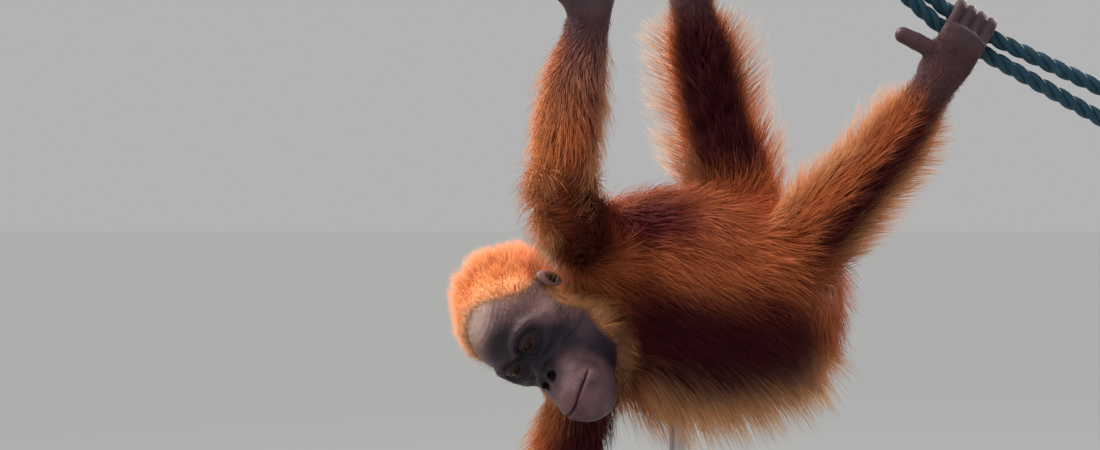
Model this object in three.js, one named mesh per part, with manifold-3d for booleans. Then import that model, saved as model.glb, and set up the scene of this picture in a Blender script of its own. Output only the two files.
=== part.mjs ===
// A young orangutan at life size, hanging by its left hand and both feet from cut lengths of rope,
// held by one rod on a flat base. Millimetres, +Z up. The origin is the middle of the base's
// underside. The chest and the face turn towards -Y and the head end of the body lies towards -X.
// Every solid of the body reaches out to the tips of the coat.

import * as THREE from 'three';
import { mergeVertices } from 'three/addons/utils/BufferGeometryUtils.js';
import Module from 'manifold-3d';

const wasm = await Module();
wasm.setup();

const vec = (x, y, z) => new THREE.Vector3(x, y, z);

// Clearance between neighbouring solids, and the width of a cut through a limb
const gap = 0.35;
const cutWidth = 0.5;

// Where the body's own frame sits over the base, so that the weight is over its middle
const bodyOverBase = vec(20, 12, 0);

// Joints of the skeleton
const neckRoot = vec(-96, 2, 634);
const joints = {
  left: {
    shoulder: vec(-92, 6, 684),
    elbow: vec(-148, -150, 757),
    wrist: vec(-121, -129, 942),
    hip: vec(62, 36, 700),
    knee: vec(26, 44, 846),
    ankle: vec(-3, 36, 980),
  },
  right: {
    shoulder: vec(-114, -28, 584),
    elbow: vec(-158, -30, 410),
    wrist: vec(-160, -50, 226),
    hip: vec(84, -22, 658),
    knee: vec(179, -48, 768),
    ankle: vec(257, -58, 871),
  },
};

// Directions of the trunk's left side: the pelvis is rolled further towards the back than the chest
const chestLeft = vec(0.05, 0.1, 0.99);
const pelvisLeft = vec(-0.15, 0.4, 0.9);

// The head's own frame: across to its left, ahead out of the face, and up to the crown
const headCentre = vec(-184, -54, 611);
const headUp = vec(-0.93, -0.25, 0.27).normalize();
const headLeft = headUp.clone().cross(vec(0.05, -0.81, -0.58)).normalize();
const headAhead = headLeft.clone().cross(headUp);

const eyeRadius = 9.5;
const eyeSpacing = 39;
const ropeRadius = 9;
const footRopeSpread = { grip: 19, rightEnd: 33 };

// Hands and feet: lengths and thicknesses of a young animal's
const palm = { length: 76, halfWidth: 33, halfDepth: 16 };
const sole = { length: 76, halfWidth: 28, halfDepth: 16, heel: 22 };
const finger = { radius: 7.2, spacing: 15.4, length: 78 };
const toe = { radius: 6.3, spacing: 13.6 };

// Where a rope lies in a grip: out from the palm or sole, and along from the wrist or ankle
const handRope = { out: 26, along: 84 };
const leftFootRope = { out: 27, along: 82 };
const rightFootRope = { out: 26.5, along: 77 };

const stand = {
  length: 500,
  depth: 380,
  thickness: 24,
  corner: 30,
  bevel: 3,
  rodRadius: 9,
  rodTop: 590,
  flangeRadius: 38,
  flangeHeight: 9,
};

const paints = {
  coat: { color: 0xa8532a, roughness: 0.85, metalness: 0 },
  face: { color: 0x4b4450, roughness: 0.6, metalness: 0 },
  muzzle: { color: 0x9a7c78, roughness: 0.6, metalness: 0 },
  bareSkin: { color: 0x6a5156, roughness: 0.6, metalness: 0 },
  eye: { color: 0x1c110c, roughness: 0.15, metalness: 0 },
  rope: { color: 0x12506b, roughness: 0.7, metalness: 0 },
  board: { color: 0x3a332e, roughness: 0.5, metalness: 0 },
  steel: { color: 0x9b9da0, roughness: 0.35, metalness: 0.9 },
};

// A form is a function that gives its solid, with its skin moved out by a given amount

function formOf(geometry) {
  const bare = geometry.clone();
  bare.deleteAttribute('normal');
  bare.deleteAttribute('uv');
  const merged = mergeVertices(bare, 1e-3);
  merged.computeVertexNormals();
  const { position, normal } = merged.attributes;
  return (grow = 0) => new wasm.Manifold(new wasm.Mesh({
    numProp: 3,
    vertProperties: position.array.map((value, i) => value + grow * normal.array[i]),
    triVerts: Uint32Array.from(merged.index.array),
  }));
}

function toGeometry(solid) {
  const { vertProperties, triVerts } = solid.getMesh();
  const geometry = new THREE.BufferGeometry();
  geometry.setAttribute('position', new THREE.BufferAttribute(vertProperties, 3));
  geometry.setIndex(new THREE.BufferAttribute(triVerts, 1));
  const faceted = geometry.toNonIndexed();
  faceted.computeVertexNormals();
  return faceted;
}

// The largest body of a cut solid: a cut may leave a sliver on the far side of a joint
function largestBody(solid) {
  return solid.decompose().reduce((best, body) => (body.volume() > best.volume() ? body : best));
}

// A flesh form: an oval section that runs along a smooth line through the stations, with round ends.
// A station is [place, half width along side, half depth], and side may turn along the way.
function flesh(stations, side, { sides = 14, rings = 10, cap = 50 } = {}) {
  const line = new THREE.CatmullRomCurve3(stations.map(([place]) => place));
  const sizes = new THREE.CatmullRomCurve3(stations.map(([, width, depth]) => vec(width, depth, 0)));
  const turns = Array.isArray(side) ? side : [side, side];
  const capSine = Math.sin(THREE.MathUtils.degToRad(cap));

  const form = new THREE.SphereGeometry(1, sides, rings);
  const points = form.attributes.position;
  const point = vec(0, 0, 0);
  for (let i = 0; i < points.count; i++) {
    point.fromBufferAttribute(points, i);
    const t = THREE.MathUtils.clamp((1 - point.y) / 2, 0, 1);
    const round = Math.hypot(point.x, point.z);
    const fill = round > 1e-6 ? Math.min(1, round / capSine) / round : 0;
    const tangent = line.getTangent(t);
    const size = sizes.getPoint(t);
    const across = turns[0].clone().lerp(turns[1], t);
    across.addScaledVector(tangent, -across.dot(tangent)).normalize();
    const deep = tangent.clone().cross(across);
    const place = line.getPoint(t)
      .addScaledVector(across, point.x * fill * size.x)
      .addScaledVector(deep, point.z * fill * size.y);
    points.setXYZ(i, place.x, place.y, place.z);
  }
  return formOf(form);
}

function ball(centre, radii, frame, detail = [12, 8]) {
  const [across, ahead, up] = frame;
  return flesh(
    [
      [centre.clone().addScaledVector(up, -radii[2]), radii[0], radii[1]],
      [centre.clone().addScaledVector(up, radii[2]), radii[0], radii[1]],
    ],
    across,
    { sides: detail[0], rings: detail[1], cap: 90 },
  );
}

// Forms joined into one, each grown alike
const joined = (...forms) => (grow = 0) => forms.map((form) => form(grow)).reduce((a, b) => a.add(b));

const between = (a, b, t) => a.clone().lerp(b, t);

// Head

const inHead = (left, ahead, up) => headCentre.clone()
  .addScaledVector(headLeft, left)
  .addScaledVector(headAhead, ahead)
  .addScaledVector(headUp, up);
const headFrame = [headLeft, headAhead, headUp];

function eye(sideSign) {
  return ball(inHead(sideSign * eyeSpacing / 2, 54, 12), [eyeRadius, eyeRadius, eyeRadius], headFrame, [10, 6]);
}

function ear(sideSign) {
  return flesh(
    [
      [inHead(sideSign * 65, -10, -14), 5, 8],
      [inHead(sideSign * 68, -10, 0), 6, 10],
      [inHead(sideSign * 67, -9, 16), 5, 9],
    ],
    headLeft,
    { sides: 8, rings: 6, cap: 60 },
  );
}

function muzzle() {
  return flesh(
    [
      [inHead(0, 30, -40), 41, 52],
      [inHead(0, 72, -53), 37, 45],
      [inHead(0, 100, -57), 32, 39],
      [inHead(0, 127, -53), 24, 28],
    ],
    headLeft,
    { sides: 16, rings: 9, cap: 48 },
  );
}

function head() {
  return flesh(
    [
      [inHead(0, -10, 88), 46, 54],
      [inHead(0, -16, 46), 60, 74],
      [inHead(0, -12, 2), 63, 78],
      [inHead(2, 6, -42), 62, 68],
      [inHead(4, 16, -80), 54, 54],
      [inHead(4, 16, -108), 40, 40],
    ],
    headLeft,
    { sides: 16, rings: 12, cap: 56 },
  );
}

// Trunk with the long hair that hangs from the lower flank

function trunk() {
  return flesh(
    [
      [vec(-128, 4, 632), 84, 54],
      [vec(-82, 4, 630), 132, 76],
      [vec(-30, 3, 624), 146, 94],
      [vec(30, 3, 624), 142, 102],
      [vec(86, 6, 632), 112, 96],
      [vec(124, 10, 640), 68, 68],
    ],
    [chestLeft, pelvisLeft],
    { sides: 20, rings: 14, cap: 62 },
  );
}

function neck() {
  return flesh(
    [
      [inHead(0, -8, -30), 62, 56],
      [between(inHead(0, -8, -40), neckRoot, 0.6), 64, 58],
      [neckRoot.clone().add(vec(22, 0, 2)), 66, 60],
    ],
    [headLeft, chestLeft],
    { sides: 14, rings: 7, cap: 50 },
  );
}

// Arms and legs. A hand or foot has its own frame: thumb to the thumb or big toe, out of the palm or
// sole, and along the fingers, from the wrist or ankle.

function handFrame(origin, along, out, isLeft) {
  const fingers = along.clone().normalize();
  const normal = out.clone().addScaledVector(fingers, -out.dot(fingers)).normalize();
  const thumb = isLeft ? normal.clone().cross(fingers) : fingers.clone().cross(normal);
  const at = (t, n, f) => origin.clone()
    .addScaledVector(thumb, t)
    .addScaledVector(normal, n)
    .addScaledVector(fingers, f);
  return { at, thumb, normal, fingers };
}

const ends = {
  handLeft: handFrame(joints.left.wrist, vec(0.05, 0, 1), vec(0, -1, 0.03), true),
  handRight: handFrame(joints.right.wrist, vec(-0.06, -0.12, -1), vec(0.8, -0.6, 0), false),
  footLeft: handFrame(joints.left.ankle, vec(-0.1, -0.08, 1), vec(0.72, 0.69, 0), true),
  footRight: handFrame(joints.right.ankle, vec(0.53, 0, 0.848), vec(0, 1, 0), false),
};

// A whole limb is one form from the root joint to the end of the palm or sole.
// Sizes are [half width, half depth] at the root, mid, hinge, mid and end joint.
function limb(root, hinge, tip, bends, sizes, end, size, rootSide) {
  const places = [root, between(root, hinge, 0.5).add(bends[0]), hinge, between(hinge, tip, 0.5).add(bends[1]), tip];
  const stations = places.map((place, i) => [place, ...sizes[i]]);
  stations.push([end.at(0, 0, size.length * 0.5), size.halfWidth, size.halfDepth]);
  stations.push([end.at(0, -2, size.length), size.halfWidth * 0.94, size.halfDepth * 0.75]);
  return flesh(stations, [rootSide, end.thumb], { sides: 14, rings: 17, cap: 34 });
}

// The stretches of a form between thin flat cuts, each cut at a place and square to a direction
function parted(form, cuts) {
  const pieces = [];
  for (let i = 0; i <= cuts.length; i++) {
    pieces.push((grow = 0) => {
      let piece = form(grow);
      if (i > 0) {
        const { place, along } = cuts[i - 1];
        piece = piece.trimByPlane(along.toArray(), along.dot(place) + cutWidth / 2 - grow);
      }
      if (i < cuts.length) {
        const { place, along } = cuts[i];
        piece = piece.trimByPlane(along.clone().negate().toArray(), cutWidth / 2 - grow - along.dot(place));
      }
      return piece;
    });
  }
  return pieces;
}

const halfway = (before, at, after) => at.clone().sub(before).normalize()
  .add(after.clone().sub(at).normalize()).normalize();

function partedLimb(whole, root, hinge, tip, end) {
  return parted(whole, [
    { place: hinge, along: halfway(root, hinge, tip) },
    { place: tip, along: halfway(hinge, tip, end.at(0, 0, 50)) },
  ]);
}

const armSizes = {
  left: [[54, 58], [52, 54], [50, 50], [50, 47], [34, 25]],
  right: [[54, 50], [53, 48], [48, 45], [46, 42], [32, 24]],
};
const legSizes = {
  left: [[60, 58], [56, 54], [51, 49], [47, 45], [33, 29]],
  right: [[60, 58], [58, 54], [51, 49], [46, 43], [31, 28]],
};

const arms = {
  left: partedLimb(
    limb(joints.left.shoulder, joints.left.elbow, joints.left.wrist, [vec(-2, -8, -6), vec(-4, -12, 0)],
      armSizes.left, ends.handLeft, palm, vec(-1, 0, 0)),
    joints.left.shoulder, joints.left.elbow, joints.left.wrist, ends.handLeft,
  ),
  right: partedLimb(
    limb(joints.right.shoulder, joints.right.elbow, joints.right.wrist, [vec(-2, 0, 0), vec(-4, 2, 0)],
      armSizes.right, ends.handRight, palm, vec(-1, 0, 0)),
    joints.right.shoulder, joints.right.elbow, joints.right.wrist, ends.handRight,
  ),
};

function leg(side, bends, rootSide, end) {
  const { hip, knee, ankle } = joints[side];
  const whole = limb(hip, knee, ankle, bends, legSizes[side], end, sole, rootSide);
  const [thigh, shank, instep] = partedLimb(whole, hip, knee, ankle, end);
  const heel = flesh(
    [
      [end.at(0, 2, 22), 19, 13],
      [end.at(0, sole.heel, 2), 16, 12],
    ],
    end.thumb,
    { sides: 8, rings: 6, cap: 60 },
  );
  const [, foot] = parted(heel, [{ place: ankle, along: halfway(knee, ankle, end.at(0, 0, 50)) }]);
  return [thigh, shank, joined(instep, foot)];
}

const legs = {
  left: leg('left', [vec(2, 0, 0), vec(0, 2, 0)], vec(1, -0.2, 0), ends.footLeft),
  right: leg('right', [vec(-3, -4, 3), vec(2, 0, -2)], vec(-0.75, 0, 0.65), ends.footRight),
};

const digitDetail = { sides: 8, rings: 7, cap: 38 };

// Points of a digit that runs to the top of a rope and closes over it.
// The rope's middle is out and along from the wrist, and the digit ends past it by the turn in degrees.
function overRope(at, t, start, rope, radius, turn) {
  const wrap = ropeRadius + radius + 0.6;
  const points = [at(t, start.out, start.along)];
  for (const degrees of [0, 60, 120, turn]) {
    const angle = THREE.MathUtils.degToRad(degrees);
    points.push(at(t, rope.out - wrap * Math.cos(angle), rope.along + wrap * Math.sin(angle)));
  }
  return points;
}

// Points of a loosely curled digit
function curled(at, t, start, length, bend) {
  const points = [];
  const steps = 4;
  let out = start.out;
  let along = start.along;
  for (let i = 0; i <= steps; i++) {
    points.push(at(t, out, along));
    const angle = THREE.MathUtils.degToRad(bend * (i + 0.5) / steps);
    out += length / steps * Math.sin(angle);
    along += length / steps * Math.cos(angle);
  }
  return points;
}

function digit(points, radius, side) {
  const last = points.length - 1;
  const stations = points.map((place, i) => {
    const thick = radius * (1 - 0.16 * i / last);
    return [place, thick, thick];
  });
  return flesh(stations, side, digitDetail);
}

// Four fingers or toes beside each other, the second and third a little longer
function digits(frame, size, makePoints) {
  const reach = [0.94, 1, 0.98, 0.9];
  return reach.map((share, i) => digit(makePoints(size.spacing * (1.5 - i), share), size.radius, frame.thumb));
}

const leftFingers = digits(ends.handLeft, finger, (t, share) => overRope(
  ends.handLeft.at, t, { out: 0, along: palm.length - 8 }, handRope, finger.radius, 190 * share,
));
const rightFingers = digits(ends.handRight, finger, (t, share) => curled(
  ends.handRight.at, t, { out: 0, along: palm.length - 8 }, finger.length * share, 62,
));
const leftToes = digits(ends.footLeft, toe, (t, share) => overRope(
  ends.footLeft.at, t, { out: -1, along: sole.length - 8 }, leftFootRope, toe.radius, 190 * share,
));
// The right foot holds two ropes, so its toes close over the upper one
const rightToes = digits(ends.footRight, toe, (t, share) => overRope(
  ends.footRight.at, t, { out: -1, along: sole.length - 8 },
  { out: rightFootRope.out, along: rightFootRope.along + footRopeSpread.grip / 2 }, toe.radius, 205 * share,
));

function thumbForm({ at, normal }, points, radius) {
  const places = points.map(([t, out, along]) => at(t, out, along));
  return flesh(
    places.map((place, i) => [place, radius * (1 - 0.08 * i), radius * (1 - 0.08 * i)]),
    normal,
    { sides: 8, rings: 8, cap: 42 },
  );
}

const thumbs = {
  left: thumbForm(ends.handLeft, [[18, 4, 16], [34, 9, 34], [38, 17, 54]], 8),
  right: thumbForm(ends.handRight, [[18, 4, 16], [33, 8, 34], [36, 14, 54]], 8),
};
const bigToes = {
  left: thumbForm(ends.footLeft, [[14, 4, 30], [38, 12, 42], [44, 26, 56]], 9.5),
  right: thumbForm(ends.footRight, [[8, 0, 38], [34, 2, 38], [58, 5, 36]], 10.5),
};

// Ropes and stand

function tubeAlong(points, radius, steps, sides = 8) {
  const section = new THREE.Shape();
  for (let i = 0; i <= sides; i++) {
    const angle = 2 * Math.PI * i / sides;
    section[i ? 'lineTo' : 'moveTo'](radius * Math.cos(angle), radius * Math.sin(angle));
  }
  const extrudePath = new THREE.CatmullRomCurve3(points);
  return formOf(new THREE.ExtrudeGeometry(section, { steps, extrudePath, bevelEnabled: false }));
}

// A straight cut length through the middle of a grip
function gripRope({ at }, rope, reach) {
  return tubeAlong([at(-reach, rope.out, rope.along), at(reach, rope.out, rope.along)], ropeRadius, 1);
}

// The two ropes in the right foot lie together under the toes and part towards the right end
function footRopes() {
  const { at } = ends.footRight;
  const grip = at(0, rightFootRope.out, rightFootRope.along);
  const middle = [grip.clone().add(vec(-96, 6, 84)), grip.clone().add(vec(-30, 0, 22)), grip,
    grip.clone().add(vec(30, 0, -16)), grip.clone().add(vec(186, 0, -96))];
  const apart = [footRopeSpread.grip, footRopeSpread.grip, footRopeSpread.grip, 20, footRopeSpread.rightEnd];
  const above = vec(0.45, 0, 0.89);
  const offset = (sign) => middle.map((place, i) => place.clone().addScaledVector(above, sign * apart[i] / 2));
  return {
    upper: tubeAlong(offset(1), ropeRadius, 10),
    lower: tubeAlong(offset(-1), ropeRadius, 10),
  };
}

function standBase() {
  const w = stand.length / 2 - stand.bevel;
  const d = stand.depth / 2 - stand.bevel;
  const r = stand.corner;
  const outline = new THREE.Shape();
  outline.absarc(w - r, d - r, r, 0, Math.PI / 2);
  outline.absarc(-w + r, d - r, r, Math.PI / 2, Math.PI);
  outline.absarc(-w + r, -d + r, r, Math.PI, 1.5 * Math.PI);
  outline.absarc(w - r, -d + r, r, 1.5 * Math.PI, 2 * Math.PI);
  const plate = new THREE.ExtrudeGeometry(outline, {
    depth: stand.thickness - 2 * stand.bevel,
    bevelThickness: stand.bevel,
    bevelSize: stand.bevel,
    bevelSegments: 1,
    curveSegments: 3,
  });
  return formOf(plate.translate(0, 0, stand.bevel));
}

function standRod() {
  const bottom = stand.thickness + gap;
  const rod = new THREE.CylinderGeometry(stand.rodRadius, stand.rodRadius, stand.rodTop - bottom, 16);
  rod.rotateX(Math.PI / 2);
  return formOf(rod.translate(0, 0, (stand.rodTop + bottom) / 2));
}

function standFlange() {
  const inner = stand.rodRadius + 1.5 * gap;
  const low = stand.thickness + gap;
  const high = low + stand.flangeHeight;
  const profile = [[inner, low], [stand.flangeRadius, low], [stand.flangeRadius, high - 3],
    [stand.flangeRadius - 6, high], [inner, high], [inner, low]];
  const ring = new THREE.LatheGeometry(profile.map(([x, y]) => new THREE.Vector2(x, y)), 16);
  return formOf(ring.rotateX(Math.PI / 2));
}

// Assembly: each piece is cut back by the ones before it that it touches

const model = new THREE.Group();
const placed = [];

function add(name, form, paint, moves = true) {
  let solid = form();
  if (moves) solid = solid.translate(bodyOverBase.toArray());
  const box = solid.boundingBox();
  const near = placed.filter((other) => [0, 1, 2].every(
    (i) => other.box.min[i] < box.max[i] + 1 && other.box.max[i] > box.min[i] - 1,
  ));
  for (const other of near) solid = solid.subtract(other.grown);
  solid = largestBody(solid);
  let grown = form(gap);
  if (moves) grown = grown.translate(bodyOverBase.toArray());
  placed.push({ grown, box: grown.boundingBox() });

  const geometry = toGeometry(solid);
  geometry.computeBoundingBox();
  const centre = geometry.boundingBox.getCenter(vec(0, 0, 0));
  const mesh = new THREE.Mesh(
    geometry.translate(-centre.x, -centre.y, -centre.z),
    new THREE.MeshStandardMaterial(paints[paint]),
  );
  mesh.name = name;
  mesh.position.copy(centre);
  model.add(mesh);
}

const ropes = footRopes();
add('stand_base', standBase(), 'board', false);
add('stand_rod', standRod(), 'steel', false);
add('stand_flange', standFlange(), 'steel', false);
add('perch_rope_foot_upper', ropes.upper, 'rope');
add('perch_rope_foot_lower', ropes.lower, 'rope');
add('perch_rope_hand', gripRope(ends.handLeft, handRope, 80), 'rope');
add('perch_rope_left_foot', gripRope(ends.footLeft, leftFootRope, 80), 'rope');

add('eye_left', eye(1), 'eye');
add('eye_right', eye(-1), 'eye');
add('muzzle', muzzle(), 'muzzle');
add('head', head(), 'coat');
add('ear_left', ear(1), 'face');
add('ear_right', ear(-1), 'face');
add('trunk', trunk(), 'coat');
add('neck', neck(), 'coat');

const digitsOf = { left: [leftFingers, leftToes], right: [rightFingers, rightToes] };
for (const side of ['left', 'right']) {
  const [upperArm, forearm, hand] = arms[side];
  const [thigh, shank, foot] = legs[side];
  const [fingers, toes] = digitsOf[side];
  add(`upper_arm_${side}`, upperArm, 'coat');
  add(`forearm_${side}`, forearm, 'coat');
  add(`hand_${side}`, hand, 'bareSkin');
  add(`thigh_${side}`, thigh, 'coat');
  add(`shank_${side}`, shank, 'coat');
  add(`foot_${side}`, foot, 'bareSkin');
  add(`thumb_${side}`, thumbs[side], 'bareSkin');
  add(`big_toe_${side}`, bigToes[side], 'bareSkin');
  fingers.forEach((form, i) => add(`finger_${side}_${i + 1}`, form, 'bareSkin'));
  toes.forEach((form, i) => add(`toe_${side}_${i + 1}`, form, 'bareSkin'));
}

export default model;
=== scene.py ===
# A young orangutan at life size, hanging by its left hand and both feet from cut lengths of rope,
# on a display stand. Metres in the frame's own axes; sizes of the body are given in millimetres.

import math

import bmesh
import bpy
import numpy as np
import openvdb
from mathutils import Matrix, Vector


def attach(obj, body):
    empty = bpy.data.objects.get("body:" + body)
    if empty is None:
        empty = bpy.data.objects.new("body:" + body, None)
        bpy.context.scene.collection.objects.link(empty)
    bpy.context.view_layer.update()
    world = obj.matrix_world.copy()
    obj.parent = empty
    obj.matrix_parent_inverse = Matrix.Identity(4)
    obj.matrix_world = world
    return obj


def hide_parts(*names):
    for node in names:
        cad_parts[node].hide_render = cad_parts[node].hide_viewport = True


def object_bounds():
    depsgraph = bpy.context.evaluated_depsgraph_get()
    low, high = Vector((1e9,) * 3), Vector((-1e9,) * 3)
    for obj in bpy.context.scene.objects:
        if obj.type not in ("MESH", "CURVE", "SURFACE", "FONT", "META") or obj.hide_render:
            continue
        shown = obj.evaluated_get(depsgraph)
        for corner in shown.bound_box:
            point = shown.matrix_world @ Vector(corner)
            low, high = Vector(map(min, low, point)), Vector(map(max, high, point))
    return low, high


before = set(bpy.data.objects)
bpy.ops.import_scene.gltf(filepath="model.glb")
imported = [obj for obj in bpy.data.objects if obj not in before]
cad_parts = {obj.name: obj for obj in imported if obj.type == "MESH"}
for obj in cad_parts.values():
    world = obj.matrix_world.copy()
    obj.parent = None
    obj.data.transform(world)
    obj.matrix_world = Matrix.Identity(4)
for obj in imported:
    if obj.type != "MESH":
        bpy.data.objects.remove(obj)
cadBox = np.array([list(corner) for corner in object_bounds()])
print("frame loaded:", len(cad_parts), "nodes")

mm = 0.001
seed = 11

# The camera stands level, in front of the shoulder
cameraSetup = {"place": (-0.142, -3.188, 0.723), "lens": 93.5, "sensorWidth": 36}


def makeCamera(setup):
    data = bpy.data.cameras.new("camera")
    data.lens = setup["lens"]
    data.sensor_width = setup["sensorWidth"]
    camera = bpy.data.objects.new("camera", data)
    camera.location = setup["place"]
    camera.rotation_euler = (math.pi / 2, 0, 0)
    bpy.context.scene.collection.objects.link(camera)
    bpy.context.scene.camera = camera


makeCamera(cameraSetup)

# Places and directions

bodyOverBase = np.array([20.0, 12.0, 0.0])


def spot(x, y, z):
    return (np.array([x, y, z]) + bodyOverBase) * mm


def unit(vectors):
    vectors = np.asarray(vectors, float)
    return vectors / np.maximum(np.linalg.norm(vectors, axis=-1, keepdims=True), 1e-9)


def mix(a, b, share):
    return a + (b - a) * share


def smoothStep(low, high, value):
    t = np.clip((value - low) / (high - low), 0, 1)
    return t * t * (3 - 2 * t)


def hump(value, middle, width):
    return np.exp(-((value - middle) / width) ** 2)


joints = {
    "left": {
        "shoulder": spot(-92, 6, 684),
        "elbow": spot(-148, -150, 757),
        "wrist": spot(-121, -129, 942),
        "hip": spot(62, 36, 700),
        "knee": spot(26, 44, 846),
        "ankle": spot(-3, 36, 980),
    },
    "right": {
        "shoulder": spot(-114, -28, 584),
        "elbow": spot(-158, -30, 410),
        "wrist": spot(-160, -50, 226),
        "hip": spot(84, -22, 658),
        "knee": spot(179, -48, 768),
        "ankle": spot(257, -58, 871),
    },
}
neckRoot = spot(-96, 2, 634)
chestLeft = np.array([0.05, 0.1, 0.99])
pelvisLeft = np.array([-0.15, 0.4, 0.9])

headCentre = spot(-184, -54, 611)
headUp = unit((-0.93, -0.25, 0.27))
headLeft = unit(np.cross(headUp, (0.05, -0.81, -0.58)))
headAhead = np.cross(headLeft, headUp)
headAxes = np.array([headLeft, headAhead, headUp])


# Places on the head in millimetres: to its left, ahead out of the face, up to the crown
def inHead(left, ahead, up):
    return headCentre + np.array([left, ahead, up]) @ headAxes * mm


def toHead(points):
    return (points - headCentre) @ headAxes.T / mm


# A hand's or foot's own places in millimetres: to the thumb, out of the palm, along the fingers
class HandFrame:
    def __init__(self, origin, along, out, isLeft):
        self.origin = origin
        self.fingers = unit(along)
        self.normal = unit(np.array(out) - self.fingers * (np.array(out) @ self.fingers))
        across = np.cross(self.normal, self.fingers)
        self.thumb = across if isLeft else -across
        self.axes = np.array([self.thumb, self.normal, self.fingers])

    def at(self, thumb, out, along):
        return self.origin + np.array([thumb, out, along]) @ self.axes * mm

    def inside(self, points):
        return (points - self.origin) @ self.axes.T / mm


hands = {
    "left": HandFrame(joints["left"]["wrist"], (0.05, 0, 1), (0, -1, 0.03), True),
    "right": HandFrame(joints["right"]["wrist"], (-0.06, -0.12, -1), (0.8, -0.6, 0), False),
}
feet = {
    "left": HandFrame(joints["left"]["ankle"], (-0.1, -0.08, 1), (0.72, 0.69, 0), True),
    "right": HandFrame(joints["right"]["ankle"], (0.53, 0, 0.848), (0, 1, 0), False),
}

# Flesh: the body as a distance field, in metres, below zero inside

fleshReach = 0.03
flesh = []


def smoothLine(stations, steps):
    rows = np.array(stations, float)
    rows = np.vstack([2 * rows[0] - rows[1], rows, 2 * rows[-1] - rows[-2]])
    made = []
    for a, b, c, d in zip(rows, rows[1:], rows[2:], rows[3:]):
        for t in np.arange(steps) / steps:
            made.append(0.5 * (2 * b + (c - a) * t + (2 * a - 5 * b + 4 * c - d) * t * t
                               + (3 * b - a - 3 * c + d) * t ** 3))
    made.append(rows[-2])
    return np.array(made)


# Distance to an oval rod with round ends; sizes are half width along across, and half depth
def ovalDistance(points, start, end, startSize, endSize, across):
    axis = end - start
    length = np.linalg.norm(axis)
    axis = axis / length
    across = unit(across - axis * (across @ axis))
    offset = points - start
    along = offset @ axis
    t = np.clip(along / length, 0, 1)
    width = mix(startSize[0], endSize[0], t)
    depth = mix(startSize[1], endSize[1], t)
    end = np.minimum(width, depth)
    u = (offset @ across) / width
    v = (offset @ np.cross(axis, across)) / depth
    w = (along - t * length) / end
    inner = u * u + v * v + w * w + 1e-6
    slope = (u / width) ** 2 + (v / depth) ** 2 + (w / end) ** 2 + 1e-6 / end ** 2
    near = np.sqrt(inner)
    return near * (near - 1) / np.sqrt(slope)


def ballDistance(points, centre, radii, axes):
    local = (points - centre) @ axes.T
    radii = np.array(radii)
    near = np.sqrt(((local / radii) ** 2).sum(-1) + 1e-6)
    slope = np.sqrt(((local / radii ** 2) ** 2).sum(-1) + 1e-6 / radii.min() ** 2)
    return near * (near - 1) / slope


# Each mass has its rods or balls, how softly it joins what is there, and whether it is cut away
def addMass(pieces, blend, cut=False):
    low = np.min([piece["low"] for piece in pieces], axis=0)
    high = np.max([piece["high"] for piece in pieces], axis=0)
    flesh.append({"pieces": pieces, "blend": blend * mm, "cut": cut, "low": low, "high": high})


# Stations are [place, half width, half depth] with sizes in millimetres
def addRods(stations, sides, blend, steps=3):
    rows = smoothLine([[*place, width * mm, depth * mm] for place, width, depth in stations], steps)
    turns = np.linspace(0, 1, len(rows))
    pieces = []
    for i in range(len(rows) - 1):
        a, b = rows[i], rows[i + 1]
        across = mix(np.array(sides[0], float), np.array(sides[1], float), turns[i])
        margin = max(a[3], a[4], b[3], b[4]) + fleshReach
        pieces.append({
            "distance": lambda p, a=a, b=b, s=across: ovalDistance(p, a[:3], b[:3], a[3:], b[3:], s),
            "low": np.minimum(a[:3], b[:3]) - margin,
            "high": np.maximum(a[:3], b[:3]) + margin,
        })
    addMass(pieces, blend)


def addBall(centre, radii, axes, blend, cut=False):
    radii = np.array(radii) * mm
    margin = radii.max() + (fleshReach if not cut else 0.012)
    addMass([{
        "distance": lambda p: ballDistance(p, centre, radii, axes),
        "low": centre - margin,
        "high": centre + margin,
    }], blend, cut)


def joinMass(field, distance, mass):
    if mass["cut"]:
        field, distance = -field, distance.copy()
    gap = np.maximum(mass["blend"] - np.abs(field - distance), 0) / mass["blend"]
    joined = np.minimum(field, distance) - gap * gap * mass["blend"] / 4
    return -joined if mass["cut"] else joined


# The trunk, neck and limbs; each limb is one smooth line from its root to the end of the palm or sole

trunkFlesh = {
    "stations": [
        [spot(-114, 4, 643), 60, 40],
        [spot(-82, 4, 645), 96, 57],
        [spot(-30, 3, 647), 109, 73],
        [spot(30, 3, 646), 109, 79],
        [spot(80, 6, 646), 90, 72],
        [spot(108, 10, 650), 54, 50],
    ],
    "blend": 20,
}
neckFlesh = {
    "stations": [
        [inHead(0, -12, -26), 44, 44],
        [mix(inHead(0, -8, -40), neckRoot, 0.6), 46, 42],
        [neckRoot + np.array([22, 0, 2]) * mm, 52, 46],
    ],
    "blend": 24,
}
limbFlesh = {
    "arms": {
        "left": [[36, 38], [33, 34], [29, 28], [30, 27], [23, 17]],
        "right": [[36, 35], [32, 31], [28, 27], [28, 26], [22, 17]],
    },
    "legs": {
        "left": [[46, 44], [39, 38], [31, 31], [29, 28], [22, 21]],
        "right": [[46, 44], [40, 37], [31, 31], [28, 27], [22, 21]],
    },
    "bends": {
        "arms": {"left": [(-2, -8, -6), (-4, -12, 0)], "right": [(-2, 0, 0), (-4, 2, 0)]},
        "legs": {"left": [(2, 0, 0), (0, 2, 0)], "right": [(-3, -4, 3), (2, 0, -2)]},
    },
    "rootSides": {
        "arms": {"left": (-1, 0, 0), "right": (-1, 0, 0)},
        "legs": {"left": (1, -0.2, 0), "right": (-0.75, 0, 0.65)},
    },
    "palm": {"length": 76, "halfWidth": 30.5, "halfDepth": 13.5},
    "sole": {"length": 76, "halfWidth": 26.5, "halfDepth": 13.5},
    "blend": 26,
}


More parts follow.
